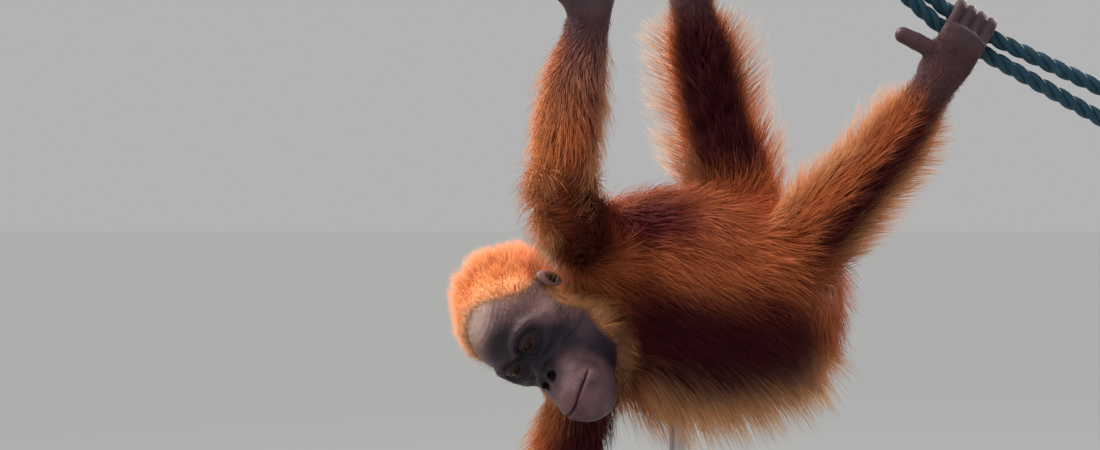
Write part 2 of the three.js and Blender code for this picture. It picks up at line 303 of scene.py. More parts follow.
def addLimb(places, sizes, bends, rootSide, end, pad):
    root, hinge, tip = places
    line = [root, mix(root, hinge, 0.5) + np.array(bends[0]) * mm, hinge,
            mix(hinge, tip, 0.5) + np.array(bends[1]) * mm, tip]
    stations = [[place, *size] for place, size in zip(line, sizes)]
    stations.append([end.at(0, 0, pad["length"] * 0.5), pad["halfWidth"], pad["halfDepth"]])
    stations.append([end.at(0, -1, pad["length"] - 6), pad["halfWidth"] * 0.94, pad["halfDepth"] * 0.72])
    addRods(stations, [rootSide, end.thumb], limbFlesh["blend"], steps=4)


addRods(trunkFlesh["stations"], [chestLeft, pelvisLeft], trunkFlesh["blend"], steps=4)
addRods(neckFlesh["stations"], [headLeft, chestLeft], neckFlesh["blend"])
for side in ("left", "right"):
    joint = joints[side]
    for kind, names, end, pad in (
        ("arms", ("shoulder", "elbow", "wrist"), hands[side], "palm"),
        ("legs", ("hip", "knee", "ankle"), feet[side], "sole"),
    ):
        addLimb([joint[name] for name in names], limbFlesh[kind][side], limbFlesh["bends"][kind][side],
                limbFlesh["rootSides"][kind][side], end, limbFlesh[pad])
    heel = feet[side]
    addRods([[heel.at(0, 2, 22), 17, 12], [heel.at(0, 20, 3), 13.5, 10.5]], [heel.thumb] * 2, 10, steps=1)
    # The cushions of the palm: at the thumb's root, at the little finger's side and under the knuckles
    for end, width in ((hands[side], 30), (feet[side], 26)):
        addBall(end.at(width * 0.55, 8, 24), (12, 8, 19), end.axes, 8)
        addBall(end.at(-width * 0.5, 8, 26), (10, 7, 22), end.axes, 8)
        addBall(end.at(0, 7, 62), (width * 0.8, 6, 8), end.axes, 7)

# Fingers and toes

digitFlesh = {
    "finger": {"radius": 7.3, "spacing": 14.5, "length": 78},
    "toe": {"radius": 6.5, "spacing": 12.9},
    "reach": [0.94, 1, 0.98, 0.9],
    "ropeRadius": 9,
    "blend": 2.2,
}
ropeInGrip = {
    "leftHand": (26, 84),
    "leftFoot": (27, 82),
    "rightFoot": (26.5, 77 + 9.5),
}
digitTips = []


# A digit that runs to the top of a rope and closes round it by the turn, in degrees
def overRope(end, thumb, start, rope, radius, turn):
    wrap = digitFlesh["ropeRadius"] + radius + 0.4
    points = [end.at(thumb, *start)]
    for angle in np.radians([0, 60, 120, turn]):
        points.append(end.at(thumb, rope[0] - wrap * math.cos(angle), rope[1] + wrap * math.sin(angle)))
    return points


def curled(end, thumb, start, length, bend, splay):
    points = []
    out, along = start
    steps = 4
    for i in range(steps + 1):
        points.append(end.at(thumb + splay * i / steps, out, along))
        angle = math.radians(bend * (i + 0.5) / steps)
        out += length / steps * math.sin(angle)
        along += length / steps * math.cos(angle)
    return points


def addDigit(points, radius, side, back, taper=0.16):
    line = smoothLine(points, 3)
    share = np.linspace(0, 1, len(line))
    knuckles = 0.09 * (hump(share, 0.36, 0.07) + hump(share, 0.7, 0.06))
    thick = radius * (1 - taper * share + knuckles)
    addRods([[place, t, t] for place, t in zip(line, thick)], [side, side], digitFlesh["blend"], steps=1)
    # The soft pad of the last joint, on the inner side
    tip = line[-1]
    ahead = unit(line[-1] - line[-2])
    outward = unit(back(tip) - ahead * (back(tip) @ ahead))
    addBall(tip - ahead * 3 * mm - outward * 1.5 * mm, np.array([0.82, 0.72, 1.1]) * thick[-1],
            np.array([np.cross(outward, ahead), outward, ahead]), 2)
    digitTips.append((tip, ahead, outward, thick[-1]))


def addDigits():
    finger, toe = digitFlesh["finger"], digitFlesh["toe"]
    for i, reach in enumerate(digitFlesh["reach"]):
        offset = finger["spacing"] * (1.5 - i)
        end = hands["left"]
        rope = ropeInGrip["leftHand"]
        addDigit(overRope(end, offset, (0, 66), rope, finger["radius"], 190 * reach),
                 finger["radius"], end.thumb, lambda tip, m=end.at(offset, *rope): unit(tip - m))
        end = hands["right"]
        addDigit(curled(end, offset, (0, 66), finger["length"] * reach, 62 + 5 * i, offset * 0.12),
                 finger["radius"], end.thumb, lambda tip, n=end.normal: -n)
        offset = toe["spacing"] * (1.5 - i)
        for end, rope, turn in ((feet["left"], ropeInGrip["leftFoot"], 190),
                                (feet["right"], ropeInGrip["rightFoot"], 205)):
            addDigit(overRope(end, offset, (-1, 66), rope, toe["radius"], turn * reach),
                     toe["radius"], end.thumb, lambda tip, m=end.at(offset, *rope): unit(tip - m))
    for end, points, radius in (
        (hands["left"], [(18, 4, 16), (34, 9, 34), (38, 17, 54)], 8),
        (hands["right"], [(18, 4, 16), (33, 8, 34), (36, 14, 54)], 8),
        (feet["left"], [(14, 4, 30), (38, 12, 42), (44, 26, 56)], 9.3),
        (feet["right"], [(8, 0, 38), (34, 2, 38), (58, 5, 36)], 10),
    ):
        addDigit([end.at(*point) for point in points], radius, end.normal,
                 lambda tip, e=end: unit(e.thumb * 0.7 - e.normal * 0.7), taper=0.1)


addDigits()

# The head: the skull, cheeks, jaw, muzzle, nose, brow ring, lids and ears, and what is cut into them

eyeSetup = {
    "radius": 9.5,
    "side": 19.5,
    "ahead": 54,
    "up": 12,
    # how far the cornea stands proud of the ball, as a share of the radius
    "bulge": 0.055,
    # angles from the middle of the pupil to the edges of the iris and of the pupil, in radians
    "iris": 0.74,
    "pupil": 0.30,
    # how far the lids stand off the eye, and how softly they join the socket
    "lid": 0.9,
    "lidBlend": 8,
    # the opening between the lids: two arcs of one radius, and how far they reach over and under
    "opening": {"arc": 11.0, "over": 4.9, "under": 4.3, "tilt": 0.1, "shift": 0.3},
}
headFlesh = {
    # place, radii, blend
    "balls": [
        [(0, -18, 20), (56, 70, 55), 20],
        [(0, 10, 20), (47, 44, 42), 16],
        [(0, 16, -54), (46, 46, 48), 16],
    ],
    "pairs": [
        [(31, 26, -8), (24, 26, 22), 14],
        [(34, 18, -50), (22, 32, 34), 14],
    ],
    "noseWing": [(8, 79, -17), (8, 9.5, 7.5), 4],
    "socket": [(20, 71, 11), (14, 13, 11), 10],
    "nostril": [(7.5, 88, -18), (4.8, 7.5, 4.2), 2],
    # rods, each with its blend: place, half width, half depth
    "muzzle": (12, [
        [(0, 34, -46), 38, 44],
        [(0, 70, -54), 35, 41],
        [(0, 90, -58), 30, 37],
        [(0, 100, -55), 26, 31],
    ]),
    "bridge": (9, [[(0, 50, 8), 8, 8], [(0, 64, -8), 8, 8], [(0, 76, -17), 9, 8]]),
    "brow": (12, [
        [(5, 57, 23), 4.5, 4.5],
        [(19, 59, 27), 5.5, 5.5],
        [(33, 50, 23), 5.5, 5.5],
        [(39, 42, 10), 5, 5],
    ]),
    "underEye": (11, [[(37, 44, 2), 4.5, 4.5], [(26, 55, -5), 4, 4], [(12, 59, -4), 3.5, 3.5]]),
    "ear": [(62.5, -10, 1), (4.5, 9.8, 14.8), 5],
    "earHollow": [(69.5, -9.5, -1), (6.2, 6.0, 9.2), 2],
    "earCanal": [(64.5, -6.5, -3), (6.5, 3.2, 4), 2],
}


def onSide(place, sign):
    return inHead(sign * place[0], *place[1:])


def addHeadRods(rods, sign=1, steps=2):
    blend, stations = rods
    stations = [[onSide(place, sign), width, depth] for place, width, depth in stations]
    addRods(stations, [headLeft, headLeft], blend, steps)


def addHeadBall(ball, sign=1, axes=headAxes, cut=False):
    centre, radii, blend = ball
    addBall(onSide(centre, sign), radii, axes, blend, cut)


def addHead():
    for ball in headFlesh["balls"]:
        addHeadBall(ball)
    for ball in headFlesh["pairs"]:
        for sign in (1, -1):
            addHeadBall(ball, sign)
    addHeadRods(headFlesh["muzzle"], steps=3)
    addHeadRods(headFlesh["bridge"])
    for sign in (1, -1):
        addHeadBall(headFlesh["noseWing"], sign)
        addHeadRods(headFlesh["brow"], sign)
        addHeadRods(headFlesh["underEye"], sign)
        addHeadBall(headFlesh["socket"], sign, cut=True)
        # Lids lie close over the eye
        eye = onSide((eyeSetup["side"], eyeSetup["ahead"], eyeSetup["up"]), sign)
        addBall(eye, [eyeSetup["radius"] + eyeSetup["lid"]] * 3, headAxes, eyeSetup["lidBlend"])
        addLidOpening(sign)
        addHeadBall(headFlesh["nostril"], sign, cut=True)
        # Ears turn a little forward
        lean = unit(headLeft * sign + headAhead * 0.22)
        axes = np.array([lean, unit(headAhead - lean * (headAhead @ lean)), headUp])
        addHeadBall(headFlesh["ear"], sign, axes)
        addHeadBall(headFlesh["earHollow"], sign, axes, cut=True)
        addHeadBall(headFlesh["earCanal"], sign, axes, cut=True)


# The opening between the lids: two wide arcs that meet at its corners, cut straight in
def addLidOpening(sign):
    eye = np.array([sign * eyeSetup["side"], eyeSetup["ahead"], eyeSetup["up"]])
    opening = eyeSetup["opening"]
    arc = opening["arc"]

    def distance(points):
        local = toHead(points) - eye
        across = local[..., 0] + opening["shift"] * sign
        rise = local[..., 2] - opening["tilt"] * sign * across
        above = np.hypot(across, rise - (opening["over"] - arc)) - arc
        below = np.hypot(across, rise + (opening["under"] - arc)) - arc
        return np.maximum(np.maximum(above, below), 3.5 - local[..., 1]) * mm

    centre = inHead(*(eye + np.array([0, 6, 0])))
    addMass([{"distance": distance, "low": centre - 0.016, "high": centre + 0.016}], 1.0, cut=True)


addHead()


# How high the mouth lies between its front and its corners
def mouthLine(ahead):
    return -44.5 - 5.5 * np.clip((124 - ahead) / 30, 0, 1.3) ** 1.2


# Fine relief of the bare skin, in millimetres out of the surface
reliefHeights = {
    "mouth": -2.6,
    "upperLip": 1.0,
    "lowerLip": 1.4,
    "lipFolds": 0.36,
    "noseCrease": -1.1,
    "cheekFold": -1.6,
    "eyeRings": 0.45,
    "browLines": 0.3,
    "palmLines": -1.1,
    "knuckles": 0.3,
}


def faceRelief(left, ahead, up):
    high = reliefHeights
    side = np.abs(left)
    # The mouth: a shallow curve from corner to corner, with a lip on each side
    offset = up - mouthLine(ahead) + 0.6 * np.cos(left / 5)
    reach = smoothStep(84, 99, ahead) * smoothStep(40, 30, side)
    made = high["mouth"] * hump(offset, 0, 1.1) * reach
    made += (high["upperLip"] * hump(offset, 4.5, 3.5) + high["lowerLip"] * hump(offset, -5.0, 4)) * reach
    # The crease from the nose's wing round the corner of the mouth, and the one under the cheek
    crease = side - mix(15, 36, smoothStep(-20, -60, up))
    creaseReach = smoothStep(-14, -24, up) * smoothStep(-80, -62, up) * (ahead > 55)
    made += high["noseCrease"] * hump(crease, 0, 3.4) * creaseReach
    fold = up + 6 + 0.62 * (side - 20)
    foldReach = smoothStep(20, 30, side) * smoothStep(58, 50, side) * (ahead > 15)
    made += high["cheekFold"] * hump(fold, -14, 3) * foldReach
    # Rings of fine folds round the eyes, and lines across the brow
    for sign in (1, -1):
        away = np.hypot((left - sign * 20) * 0.85, up - 11)
        ring = smoothStep(10, 13, away) * smoothStep(25, 16, away)
        made += high["eyeRings"] * np.sin(away * 1.9 + 0.8 * np.sin(left * 0.4)) * ring * (ahead > 40)
    brow = smoothStep(32, 38, up) * smoothStep(66, 54, up) * smoothStep(46, 24, side)
    made += high["browLines"] * np.sin(up * 1.25 + 0.7 * np.sin(left * 0.13)) * brow
    # Upright folds across the lips
    made += high["lipFolds"] * np.sin(left * 1.7 + 1.2 * np.sin(up * 0.35)) * hump(offset, 0, 16) * reach
    return made * smoothStep(-10, 30, ahead) * (side < 60) * (up > -115) * (up < 80)


def handRelief(across, out, along):
    palm = smoothStep(2, 7, out) * smoothStep(8, 16, along) * smoothStep(74, 66, along)
    palm = palm * (np.abs(across) < 40)
    lines = hump(along - 42 - 0.35 * across, 0, 1.3) + hump(along - 56 + 0.2 * across, 0, 1.2)
    lines += hump(across - 9 - 0.25 * (along - 20), 0, 1.3) * smoothStep(48, 36, along)
    knuckle = smoothStep(-2, -6, out) * smoothStep(56, 62, along) * (along < 130) * (np.abs(across) < 34)
    knuckle = knuckle * np.sin(along * 2.1) * hump(np.mod(along, 26), 13, 7)
    return reliefHeights["palmLines"] * lines * palm + reliefHeights["knuckles"] * knuckle


def relief(points):
    made = faceRelief(*toHead(points).T)
    for end in (*hands.values(), *feet.values()):
        made += handRelief(*end.inside(points).T)
    return made * mm


def bodyDistance(points, detail=True):
    field = np.full(len(points), fleshReach)
    for mass in flesh:
        near = np.all((points > mass["low"]) & (points < mass["high"]), axis=1)
        if not near.any():
            continue
        some = points[near]
        distance = np.full(len(some), fleshReach)
        for piece in mass["pieces"]:
            inside = np.all((some > piece["low"]) & (some < piece["high"]), axis=1)
            distance[inside] = np.minimum(distance[inside], piece["distance"](some[inside]))
        field[near] = joinMass(field[near], distance, mass)
    return field - relief(points) if detail else field


# The same field on a grid of cells, which the skin is meshed from and the coat is laid over

cell = 2.3 * mm
gridLow = np.min([mass["low"] for mass in flesh], axis=0)
gridHigh = np.max([mass["high"] for mass in flesh], axis=0)
gridShape = np.ceil((gridHigh - gridLow) / cell).astype(int) + 1


def cellsBetween(low, high):
    first = np.clip(np.floor((low - gridLow) / cell).astype(int), 0, gridShape - 1)
    last = np.clip(np.ceil((high - gridLow) / cell).astype(int) + 1, 1, gridShape)
    lines = [gridLow[i] + cell * np.arange(first[i], last[i]) for i in range(3)]
    points = np.stack(np.meshgrid(*lines, indexing="ij"), axis=-1)
    return first, last, points


def fillGrid():
    field = np.full(gridShape, fleshReach, np.float32)
    for mass in flesh:
        first, last, points = cellsBetween(mass["low"], mass["high"])
        distance = np.full(points.shape[:3], fleshReach)
        for piece in mass["pieces"]:
            a, b, some = cellsBetween(piece["low"], piece["high"])
            a, b = a - first, b - first
            block = distance[a[0]:b[0], a[1]:b[1], a[2]:b[2]]
            np.minimum(block, piece["distance"](some), out=block)
        block = field[first[0]:last[0], first[1]:last[1], first[2]:last[2]]
        block[...] = joinMass(block, distance, mass)
    return field


fleshField = fillGrid()
print("flesh field:", fleshField.shape)


# The eight corners of the cell round each point, with how much each corner counts
def cellCorners(base, share):
    for dx in (0, 1):
        for dy in (0, 1):
            for dz in (0, 1):
                weight = (np.abs(1 - dx - share[:, 0]) * np.abs(1 - dy - share[:, 1])
                          * np.abs(1 - dz - share[:, 2]))
                yield weight, base + np.array([dx, dy, dz])


def sampleField(points):
    inCells = np.clip((points - gridLow) / cell, 0, gridShape - 1.001)
    base = inCells.astype(int)
    total = np.zeros(len(points))
    for weight, corner in cellCorners(base, inCells - base):
        total += weight * fleshField[tuple(corner.T)]
    return total


def fieldSlope(points, step=0.003):
    slope = np.empty((len(points), 3))
    for i in range(3):
        shift = np.zeros(3)
        shift[i] = step
        slope[:, i] = sampleField(points + shift) - sampleField(points - shift)
    return unit(slope)


# Regions of the body

# Where hair begins round the face: 1 on the hairline, less towards the middle of the face
def hairline(points):
    left, _, up = toHead(points).T
    return np.hypot(left / 60, (up + 14) / 85)


def boneDistance(points, start, end):
    axis = end - start
    t = np.clip((points - start) @ axis / (axis @ axis), 0, 1)
    return np.linalg.norm(points - start - t[..., None] * axis, axis=-1)


def faceBareness(points):
    left, ahead, up = toHead(points).T
    # On the cheeks hair grows further forward than at the temples
    front = ahead - mix(-20, 12, smoothStep(14, -14, up))
    oval = smoothStep(1.05, 0.95, hairline(points)) * smoothStep(0, 13, front)
    muzzle = smoothStep(1.4, 1.25, np.hypot(left / 45, (up + 54) / 42)) * smoothStep(40, 52, ahead)
    earSide = smoothStep(1.5, 1.2, np.hypot((ahead + 9) / 13, up / 17))
    earSide *= smoothStep(54, 58, np.abs(left)) * smoothStep(79, 75, np.abs(left))
    bare = np.clip(np.maximum(np.maximum(oval, muzzle), earSide), 0, 1)
    for joint in joints.values():
        bare = bare * smoothStep(0.045, 0.055, boneDistance(points, joint["shoulder"], joint["elbow"]))
    return bare


def handBareness(points):
    bare = np.zeros(len(points))
    for end, back in ((hands["left"], 66), (hands["right"], 66), (feet["left"], 60), (feet["right"], 60)):
        across, out, along = end.inside(points).T
        near = (np.abs(across) < 75) & (along < 150) & (np.abs(out) < 62)
        palm = smoothStep(-6, 2, out) * smoothStep(0, 12, along)
        tips = smoothStep(back - 8, back + 4, along)
        thumb = smoothStep(24, 34, across) * smoothStep(10, 20, along)
        bare = np.maximum(bare, np.maximum(np.maximum(palm, tips), thumb) * near)
    return bare


# How far a point is towards the hand or foot of its limb, over the last stretch given in millimetres
def endShare(points, stretch):
    share = np.zeros(len(points))
    for end in (*hands.values(), *feet.values()):
        across, out, along = end.inside(points).T
        near = (np.abs(across) < 60) & (np.abs(out) < 50)
        share = np.maximum(share, smoothStep(-stretch, 6, along) * near)
    return share


bones = {
    "head": (inHead(0, -14, 26), inHead(0, 8, -44), 56),
    "neck": (inHead(0, -10, -60), neckRoot, 46),
    "trunk": (spot(-84, 4, 643), spot(80, 6, 643), 88),
}
for side in ("left", "right"):
    joint = joints[side]
    bones["upperArm." + side] = (joint["shoulder"], joint["elbow"], 33)
    bones["forearm." + side] = (joint["elbow"], joint["wrist"], 27)
    bones["hand." + side] = (joint["wrist"], hands[side].at(0, 0, 80), 24)
    bones["thigh." + side] = (joint["hip"], joint["knee"], 38)
    bones["shank." + side] = (joint["knee"], joint["ankle"], 27)
    bones["foot." + side] = (joint["ankle"], feet[side].at(0, 0, 80), 22)
boneNames = list(bones)


# How much each part of the body counts at each point
def partShares(points):
    away = np.empty((len(points), len(bones)))
    for i, (start, end, radius) in enumerate(bones.values()):
        away[:, i] = boneDistance(points, start, end) - radius * mm
    away -= away.min(axis=1, keepdims=True)
    shares = np.exp(-away / 0.009)
    return shares / shares.sum(axis=1, keepdims=True)


noiseSource = np.random.default_rng(seed).normal(size=(24, 24, 24, 3))


# Smooth random vectors that turn over about the given size
def wander(points, size, shift=0.0):
    inCells = points / size + shift + 1000
    base = np.floor(inCells).astype(int)
    share = inCells - base
    share = share * share * (3 - 2 * share)
    total = np.zeros((len(points), 3))
    for weight, corner in cellCorners(base, share):
        total += weight[:, None] * noiseSource[tuple(corner.T % 24)]
    return total


# Colours of the coat and the skin, as light that they return

palette = {
    "ember": (0.46, 0.085, 0.026),
    "orange": (0.80, 0.220, 0.070),
    "gold": (0.90, 0.375, 0.115),
    "cream": (0.95, 0.60, 0.32),
    "white": (0.80, 0.70, 0.60),
    "russet": (0.175, 0.026, 0.018),
    "maroon": (0.050, 0.005, 0.012),
    "deepRed": (0.24, 0.018, 0.020),
    "slate": (0.020, 0.013, 0.024),
    "darkFace": (0.006, 0.004, 0.008),
    "rose": (0.25, 0.140, 0.142),
    "mauve": (0.105, 0.056, 0.066),
    "lip": (0.135, 0.050, 0.060),
    "lid": (0.046, 0.023, 0.021),
}
palette = {name: np.array(colour) for name, colour in palette.items()}


def tint(colours, name, share):
    return mix(colours, palette[name], np.clip(share, 0, 1)[:, None])


# Faces of the right leg turned to its upper and lower edge, where painted rim light lies, and to its inner
# side, which takes painted shade
rightLegEdge = unit((-0.65, 0, 0.75))
rightLegOuter = unit((-0.65, 0.3, 0.7))


# How dark the painted shade is at each point: on the lower trunk and the throat, and on the limbs' inner
# sides turned away from the light
def paintedShadeShares(on, points, normals, patches):
    across, depth, height = points.T
    _, ahead, up = toHead(points).T
    front = -normals[:, 1]
    # Painted shade under the trunk, less where it faces the rump's end, and on the throat under the jaw
    low = on("trunk") * smoothStep(0.680, 0.615, height + 0.006 * patches) * smoothStep(-0.7, 0.1, front)
    low *= 1 - 0.75 * smoothStep(0.45, 0.85, normals[:, 0])
    low += on("head", "neck") * smoothStep(-62, -84, up) * smoothStep(-45, -10, ahead)
    # Painted shade on the sides of the legs and arms that face away from the light, and in the armpit
    leftLeg = on("thigh.left") * smoothStep(0.74, 0.79, height) + on("shank.left")
    inner = leftLeg * smoothStep(0.35, 0.8, front)
    inner += 0.95 * on("thigh.right", "shank.right") * smoothStep(0.0, -0.6, normals @ rightLegOuter)
    inner += on("upperArm.right", "forearm.right") * smoothStep(-0.7, 0.1, normals[:, 0])
    armpitShade = smoothStep(0.785, 0.765, height + 0.15 * depth) * smoothStep(-0.4, 0.2, front)
    inner += 0.72 * on("upperArm.left") * armpitShade * smoothStep(-0.068, -0.086, across)
    inner += 0.4 * on("forearm.left") * smoothStep(0.2, 0.8, normals[:, 0])
    return low, inner


# Painted rim light: how pale the fringe is painted at the outer sides of the limbs and under the trunk,
# where light from behind shines through the hair
def paintedRimLightShare(on, points, normals):
    height = points[:, 2]
    facing = normals[:, 0]
    rimLit = 1.3 * on("thigh.left", "shank.left") * smoothStep(0.6, 0.15, np.abs(0.1 - normals[:, 1]))
    rimLit += on("thigh.right", "shank.right") * smoothStep(0.5, 0.95, np.abs(normals @ rightLegEdge))
    rimLit += 0.6 * on("forearm.left") * smoothStep(0.4, 0.85, np.abs(facing - 0.12))
    rimLit += 0.9 * on("upperArm.left") * smoothStep(-0.3, -0.8, facing)
    rimLit += on("upperArm.right", "forearm.right") * smoothStep(-0.65, -0.95, facing)
    rimLit += on("trunk") * smoothStep(-0.55, -0.9, normals[:, 2]) * smoothStep(0.60, 0.57, height)
    rimLit += on("trunk") * smoothStep(0.3, 0.8, facing) * smoothStep(0.62, 0.58, height)
    return rimLit


# Colours at each root, near the skin and at the tips: the coat's own colours, with painted shade and
# painted light laid over them
def coatColoursAndPaintedLight(points, normals, shares):
    def on(*names):
        return sum(shares[:, boneNames.index(name)] for name in names)

    height = points[:, 2]
    left, ahead, up = toHead(points).T
    patches = wander(points, 0.045)[:, 0]
    root = np.tile(palette["ember"], (len(points), 1))
    tip = np.tile(palette["orange"], (len(points), 1))
    root = tint(root, "russet", 0.3 + 0.25 * patches)
    # Painted shade: the hollow under the raised arm is painted deep red, and the shaded sides are painted
    # maroon
    hollowShade = np.linalg.norm((points - spot(-60, -60, 728)) / (0.052, 0.12, 0.030), axis=1)
    hollowShade = 1.3 * hump(hollowShade, 0, 1) * on("trunk", "upperArm.left")
    root = tint(root, "maroon", 0.8 * hollowShade)
    tip = tint(tip, "deepRed", 0.95 * hollowShade)
    for share in paintedShadeShares(on, points, normals, patches):
        root = tint(root, "maroon", share)
        tip = tint(tint(tip, "russet", share), "maroon", 0.75 * share)
    # Painted rim light: gold and cream tips and orange roots on the fringe, as if lit from behind
    rimLit = paintedRimLightShare(on, points, normals)
    tip = tint(tint(tip, "gold", 0.85 * rimLit), "cream", 0.55 * rimLit)
    root = tint(root, "orange", 0.6 * rimLit)
    # The lit back of the forearm and the crown are brightest
    crown = on("head") * smoothStep(10, 45, up)
    bright = on("forearm.left") * smoothStep(0.93, 0.82, height) * smoothStep(0.5, -0.2, normals[:, 0])
    root = tint(root, "orange", 0.55 * (bright + crown))
    tip = tint(tint(tip, "gold", 0.5 * (bright + crown)), "russet", 0.16 * crown)
    # Thin grey hair down the front of the forearm, and over the wrists and ankles
    facing = 0.3 * normals[:, 0] - normals[:, 1]
    grey = on("forearm.left") * smoothStep(0.80, 0.93, height) * smoothStep(0.3, 0.8, facing)
    grey += 0.7 * on("hand.left", "hand.right", "foot.left", "foot.right")
    root = tint(root, "mauve", 0.85 * grey)
    tip = tint(tip, "rose", 0.7 * grey)
    ends = endShare(points, 46)
    root = tint(root, "mauve", 0.8 * ends)
    tip = tint(tip, "mauve", 0.75 * ends)
    # Pale hair on the cheeks and along the hairline
    cheek = on("head") * smoothStep(8, -10, up) * smoothStep(-76, -58, up)
    cheek = cheek * smoothStep(-26, -8, ahead) * smoothStep(34, 46, np.abs(left))
    root = tint(root, "gold", 0.6 * cheek)
    tip = tint(tint(tip, "gold", cheek), "cream", 0.45 * cheek)
    edge = on("head") * smoothStep(1.25, 1.0, hairline(points)) * (ahead > 0)
    root = tint(root, "cream", 0.22 * edge)
    tip = tint(tip, "cream", 0.35 * edge)
    return root, tip


# The bare face: painted shade makes it dark in the middle, it is paler towards the hairline with a painted
# highlight over the forehead and the upper rim, and the muzzle is pinkish grey
def faceColours(points, mottle):
    left, ahead, up = toHead(points).T
    side = np.abs(left)
    bare = tint(np.tile(palette["slate"], (len(points), 1)), "darkFace", smoothStep(36, 8, side) * 0.55)
    rim = smoothStep(0.66, 0.95, hairline(points)) * smoothStep(-70, -30, up) * smoothStep(70, 45, ahead)
    bare = tint(bare, "mauve", (0.9 + mottle) * rim)
    # Painted highlight: a pale patch on the forehead, and rose over the upper part of the rim
    pale = hump((up - 66) / 9, 0, 1) * smoothStep(36, 20, side) * smoothStep(-6, 6, ahead)
    bare = tint(bare, "rose", (1.0 + mottle) * pale + 0.5 * rim * smoothStep(-30, 5, up))
    bare = tint(bare, "white", 0.3 * pale)
    # The muzzle is blotched, with painted shade along the thin dark line of the mouth and on the chin under
    # it
    snout = smoothStep(56, 92, ahead + 0.1 * side) * smoothStep(-12, -36, up)
    blotches = wander(points, 0.016, 2.0)[:, 1]
    bare = tint(bare, "mauve", snout)
    bare = tint(bare, "rose", snout * (0.34 + mottle + 0.16 * blotches))
    offset = up - mouthLine(ahead)
    bare = tint(bare, "lip", (0.55 + mottle) * hump(offset, 0, 13) * smoothStep(92, 108, ahead))
    # Painted shade in the line of the mouth and on the chin below it
    mouth = hump(offset + 0.6 * np.cos(left / 5), 0, 1.2)
    bare = tint(bare, "darkFace", 0.85 * mouth * smoothStep(85, 97, ahead))
    chinShade = smoothStep(-50, -84, up + 3 * blotches) * smoothStep(30, 60, ahead)
    bare = tint(bare, "slate", 0.5 * chinShade)
    bare = tint(bare, "slate", 0.45 * snout * smoothStep(0.2, 1.4, -blotches))
    # Painted shade in the eye sockets and inside the nostrils, and a painted highlight on the brow over
    # each eye; the lids keep their own browner colour
    for sign in (1, -1):
        away = np.hypot(left - sign * eyeSetup["side"], (up - eyeSetup["up"]) * 1.15)
        bare = tint(bare, "darkFace", 0.7 * smoothStep(24, 15, away) * (ahead > 40))
        bare = tint(bare, "lid", 0.6 * smoothStep(15, 8, away) * (ahead > 45))
        bare = tint(bare, "rose", 0.12 * hump(away, 22, 3.5) * (ahead > 45) * smoothStep(12, 24, up))
        nostril = np.linalg.norm([left - sign * 7.5, (ahead - 87) * 0.55, up + 18], axis=0)
        bare = tint(bare, "darkFace", 0.95 * smoothStep(7.2, 4.4, nostril))
    ear = smoothStep(55, 60, side) * smoothStep(26, 18, np.hypot(ahead + 10, up))
    bare = tint(bare, "rose", 0.75 * ear)
    # Painted shade inside the ear's hollow
    hollowShade = smoothStep(10, 6.5, np.hypot((ahead + 9) * 1.3, up + 1)) * ear
    return tint(bare, "darkFace", 0.97 * hollowShade)


def skinColours(points, normals, shares):
    mottle = wander(points, 0.012)[:, 0] * 0.12
    # Under the coat the skin carries the same colours, with the same painted shade and light, darker
    root, tip = coatColoursAndPaintedLight(points, normals, shares)
    colours = mix(root, tip, 0.1) * 0.5
    colours = mix(colours, faceColours(points, mottle), faceBareness(points)[:, None])
    # The hands and feet: mauve-brown, and seen through the thin hair over the wrists and ankles
    handTint = tint(np.tile(palette["mauve"], (len(points), 1)), "darkFace", 0.35 + 0.5 * mottle)
    thin = np.maximum(handBareness(points), 0.85 * endShare(points, 40))
    colours = mix(colours, handTint, thin[:, None])
    return np.clip(colours * (1 + mottle[:, None]), 0, 1)


# Mesh making

def meshFrom(name, points, faces):
    faces = np.asarray(faces, np.int32)
    mesh = bpy.data.meshes.new(name)
    mesh.vertices.add(len(points))
    mesh.vertices.foreach_set("co", np.asarray(points, np.float32).ravel())
    mesh.loops.add(faces.size)
    mesh.loops.foreach_set("vertex_index", faces.ravel())
    mesh.polygons.add(len(faces))
    mesh.polygons.foreach_set("loop_start", np.arange(0, faces.size, faces.shape[1], dtype=np.int32))
    mesh.update(calc_edges=True)
    mesh.polygons.foreach_set("use_smooth", np.ones(len(faces), bool))
    return mesh


def addPiece(name, mesh, material):
    piece = bpy.data.objects.new(name, mesh)
    bpy.context.scene.collection.objects.link(piece)
    piece.data.materials.append(material)
    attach(piece, "root")
    return piece


def setColours(mesh, name, colours):
    attribute = mesh.attributes.new(name, "FLOAT_COLOR", "POINT")
    full = np.ones((len(colours), 4), np.float32)
    full[:, :3] = colours
    attribute.data.foreach_set("color", full.ravel())


def setValues(mesh, name, values):
    attribute = mesh.attributes.new(name, "FLOAT", "POINT")
    attribute.data.foreach_set("value", np.asarray(values, np.float32))


def pointsOf(mesh):
    points = np.empty(len(mesh.vertices) * 3, np.float32)
    mesh.vertices.foreach_get("co", points)
    return points.reshape(-1, 3).astype(float)


def normalsOf(mesh):
    normals = np.empty(len(mesh.vertices) * 3, np.float32)
    mesh.vertices.foreach_get("normal", normals)
    return normals.reshape(-1, 3).astype(float)


def evaluated(piece):
    graph = bpy.context.evaluated_depsgraph_get()
    return bpy.data.meshes.new_from_object(piece.evaluated_get(graph))


# Shader maths as expressions

class Wire:
    def __init__(self, finish, socket):
        self.finish = finish
        self.socket = socket

    def __add__(self, other):
        return self.finish.maths("ADD", self, other)

    def __sub__(self, other):
        return self.finish.maths("SUBTRACT", self, other)

    def __rsub__(self, other):
        return self.finish.maths("SUBTRACT", other, self)

    def __mul__(self, other):
        return self.finish.maths("MULTIPLY", self, other)

    __radd__ = __add__
    __rmul__ = __mul__


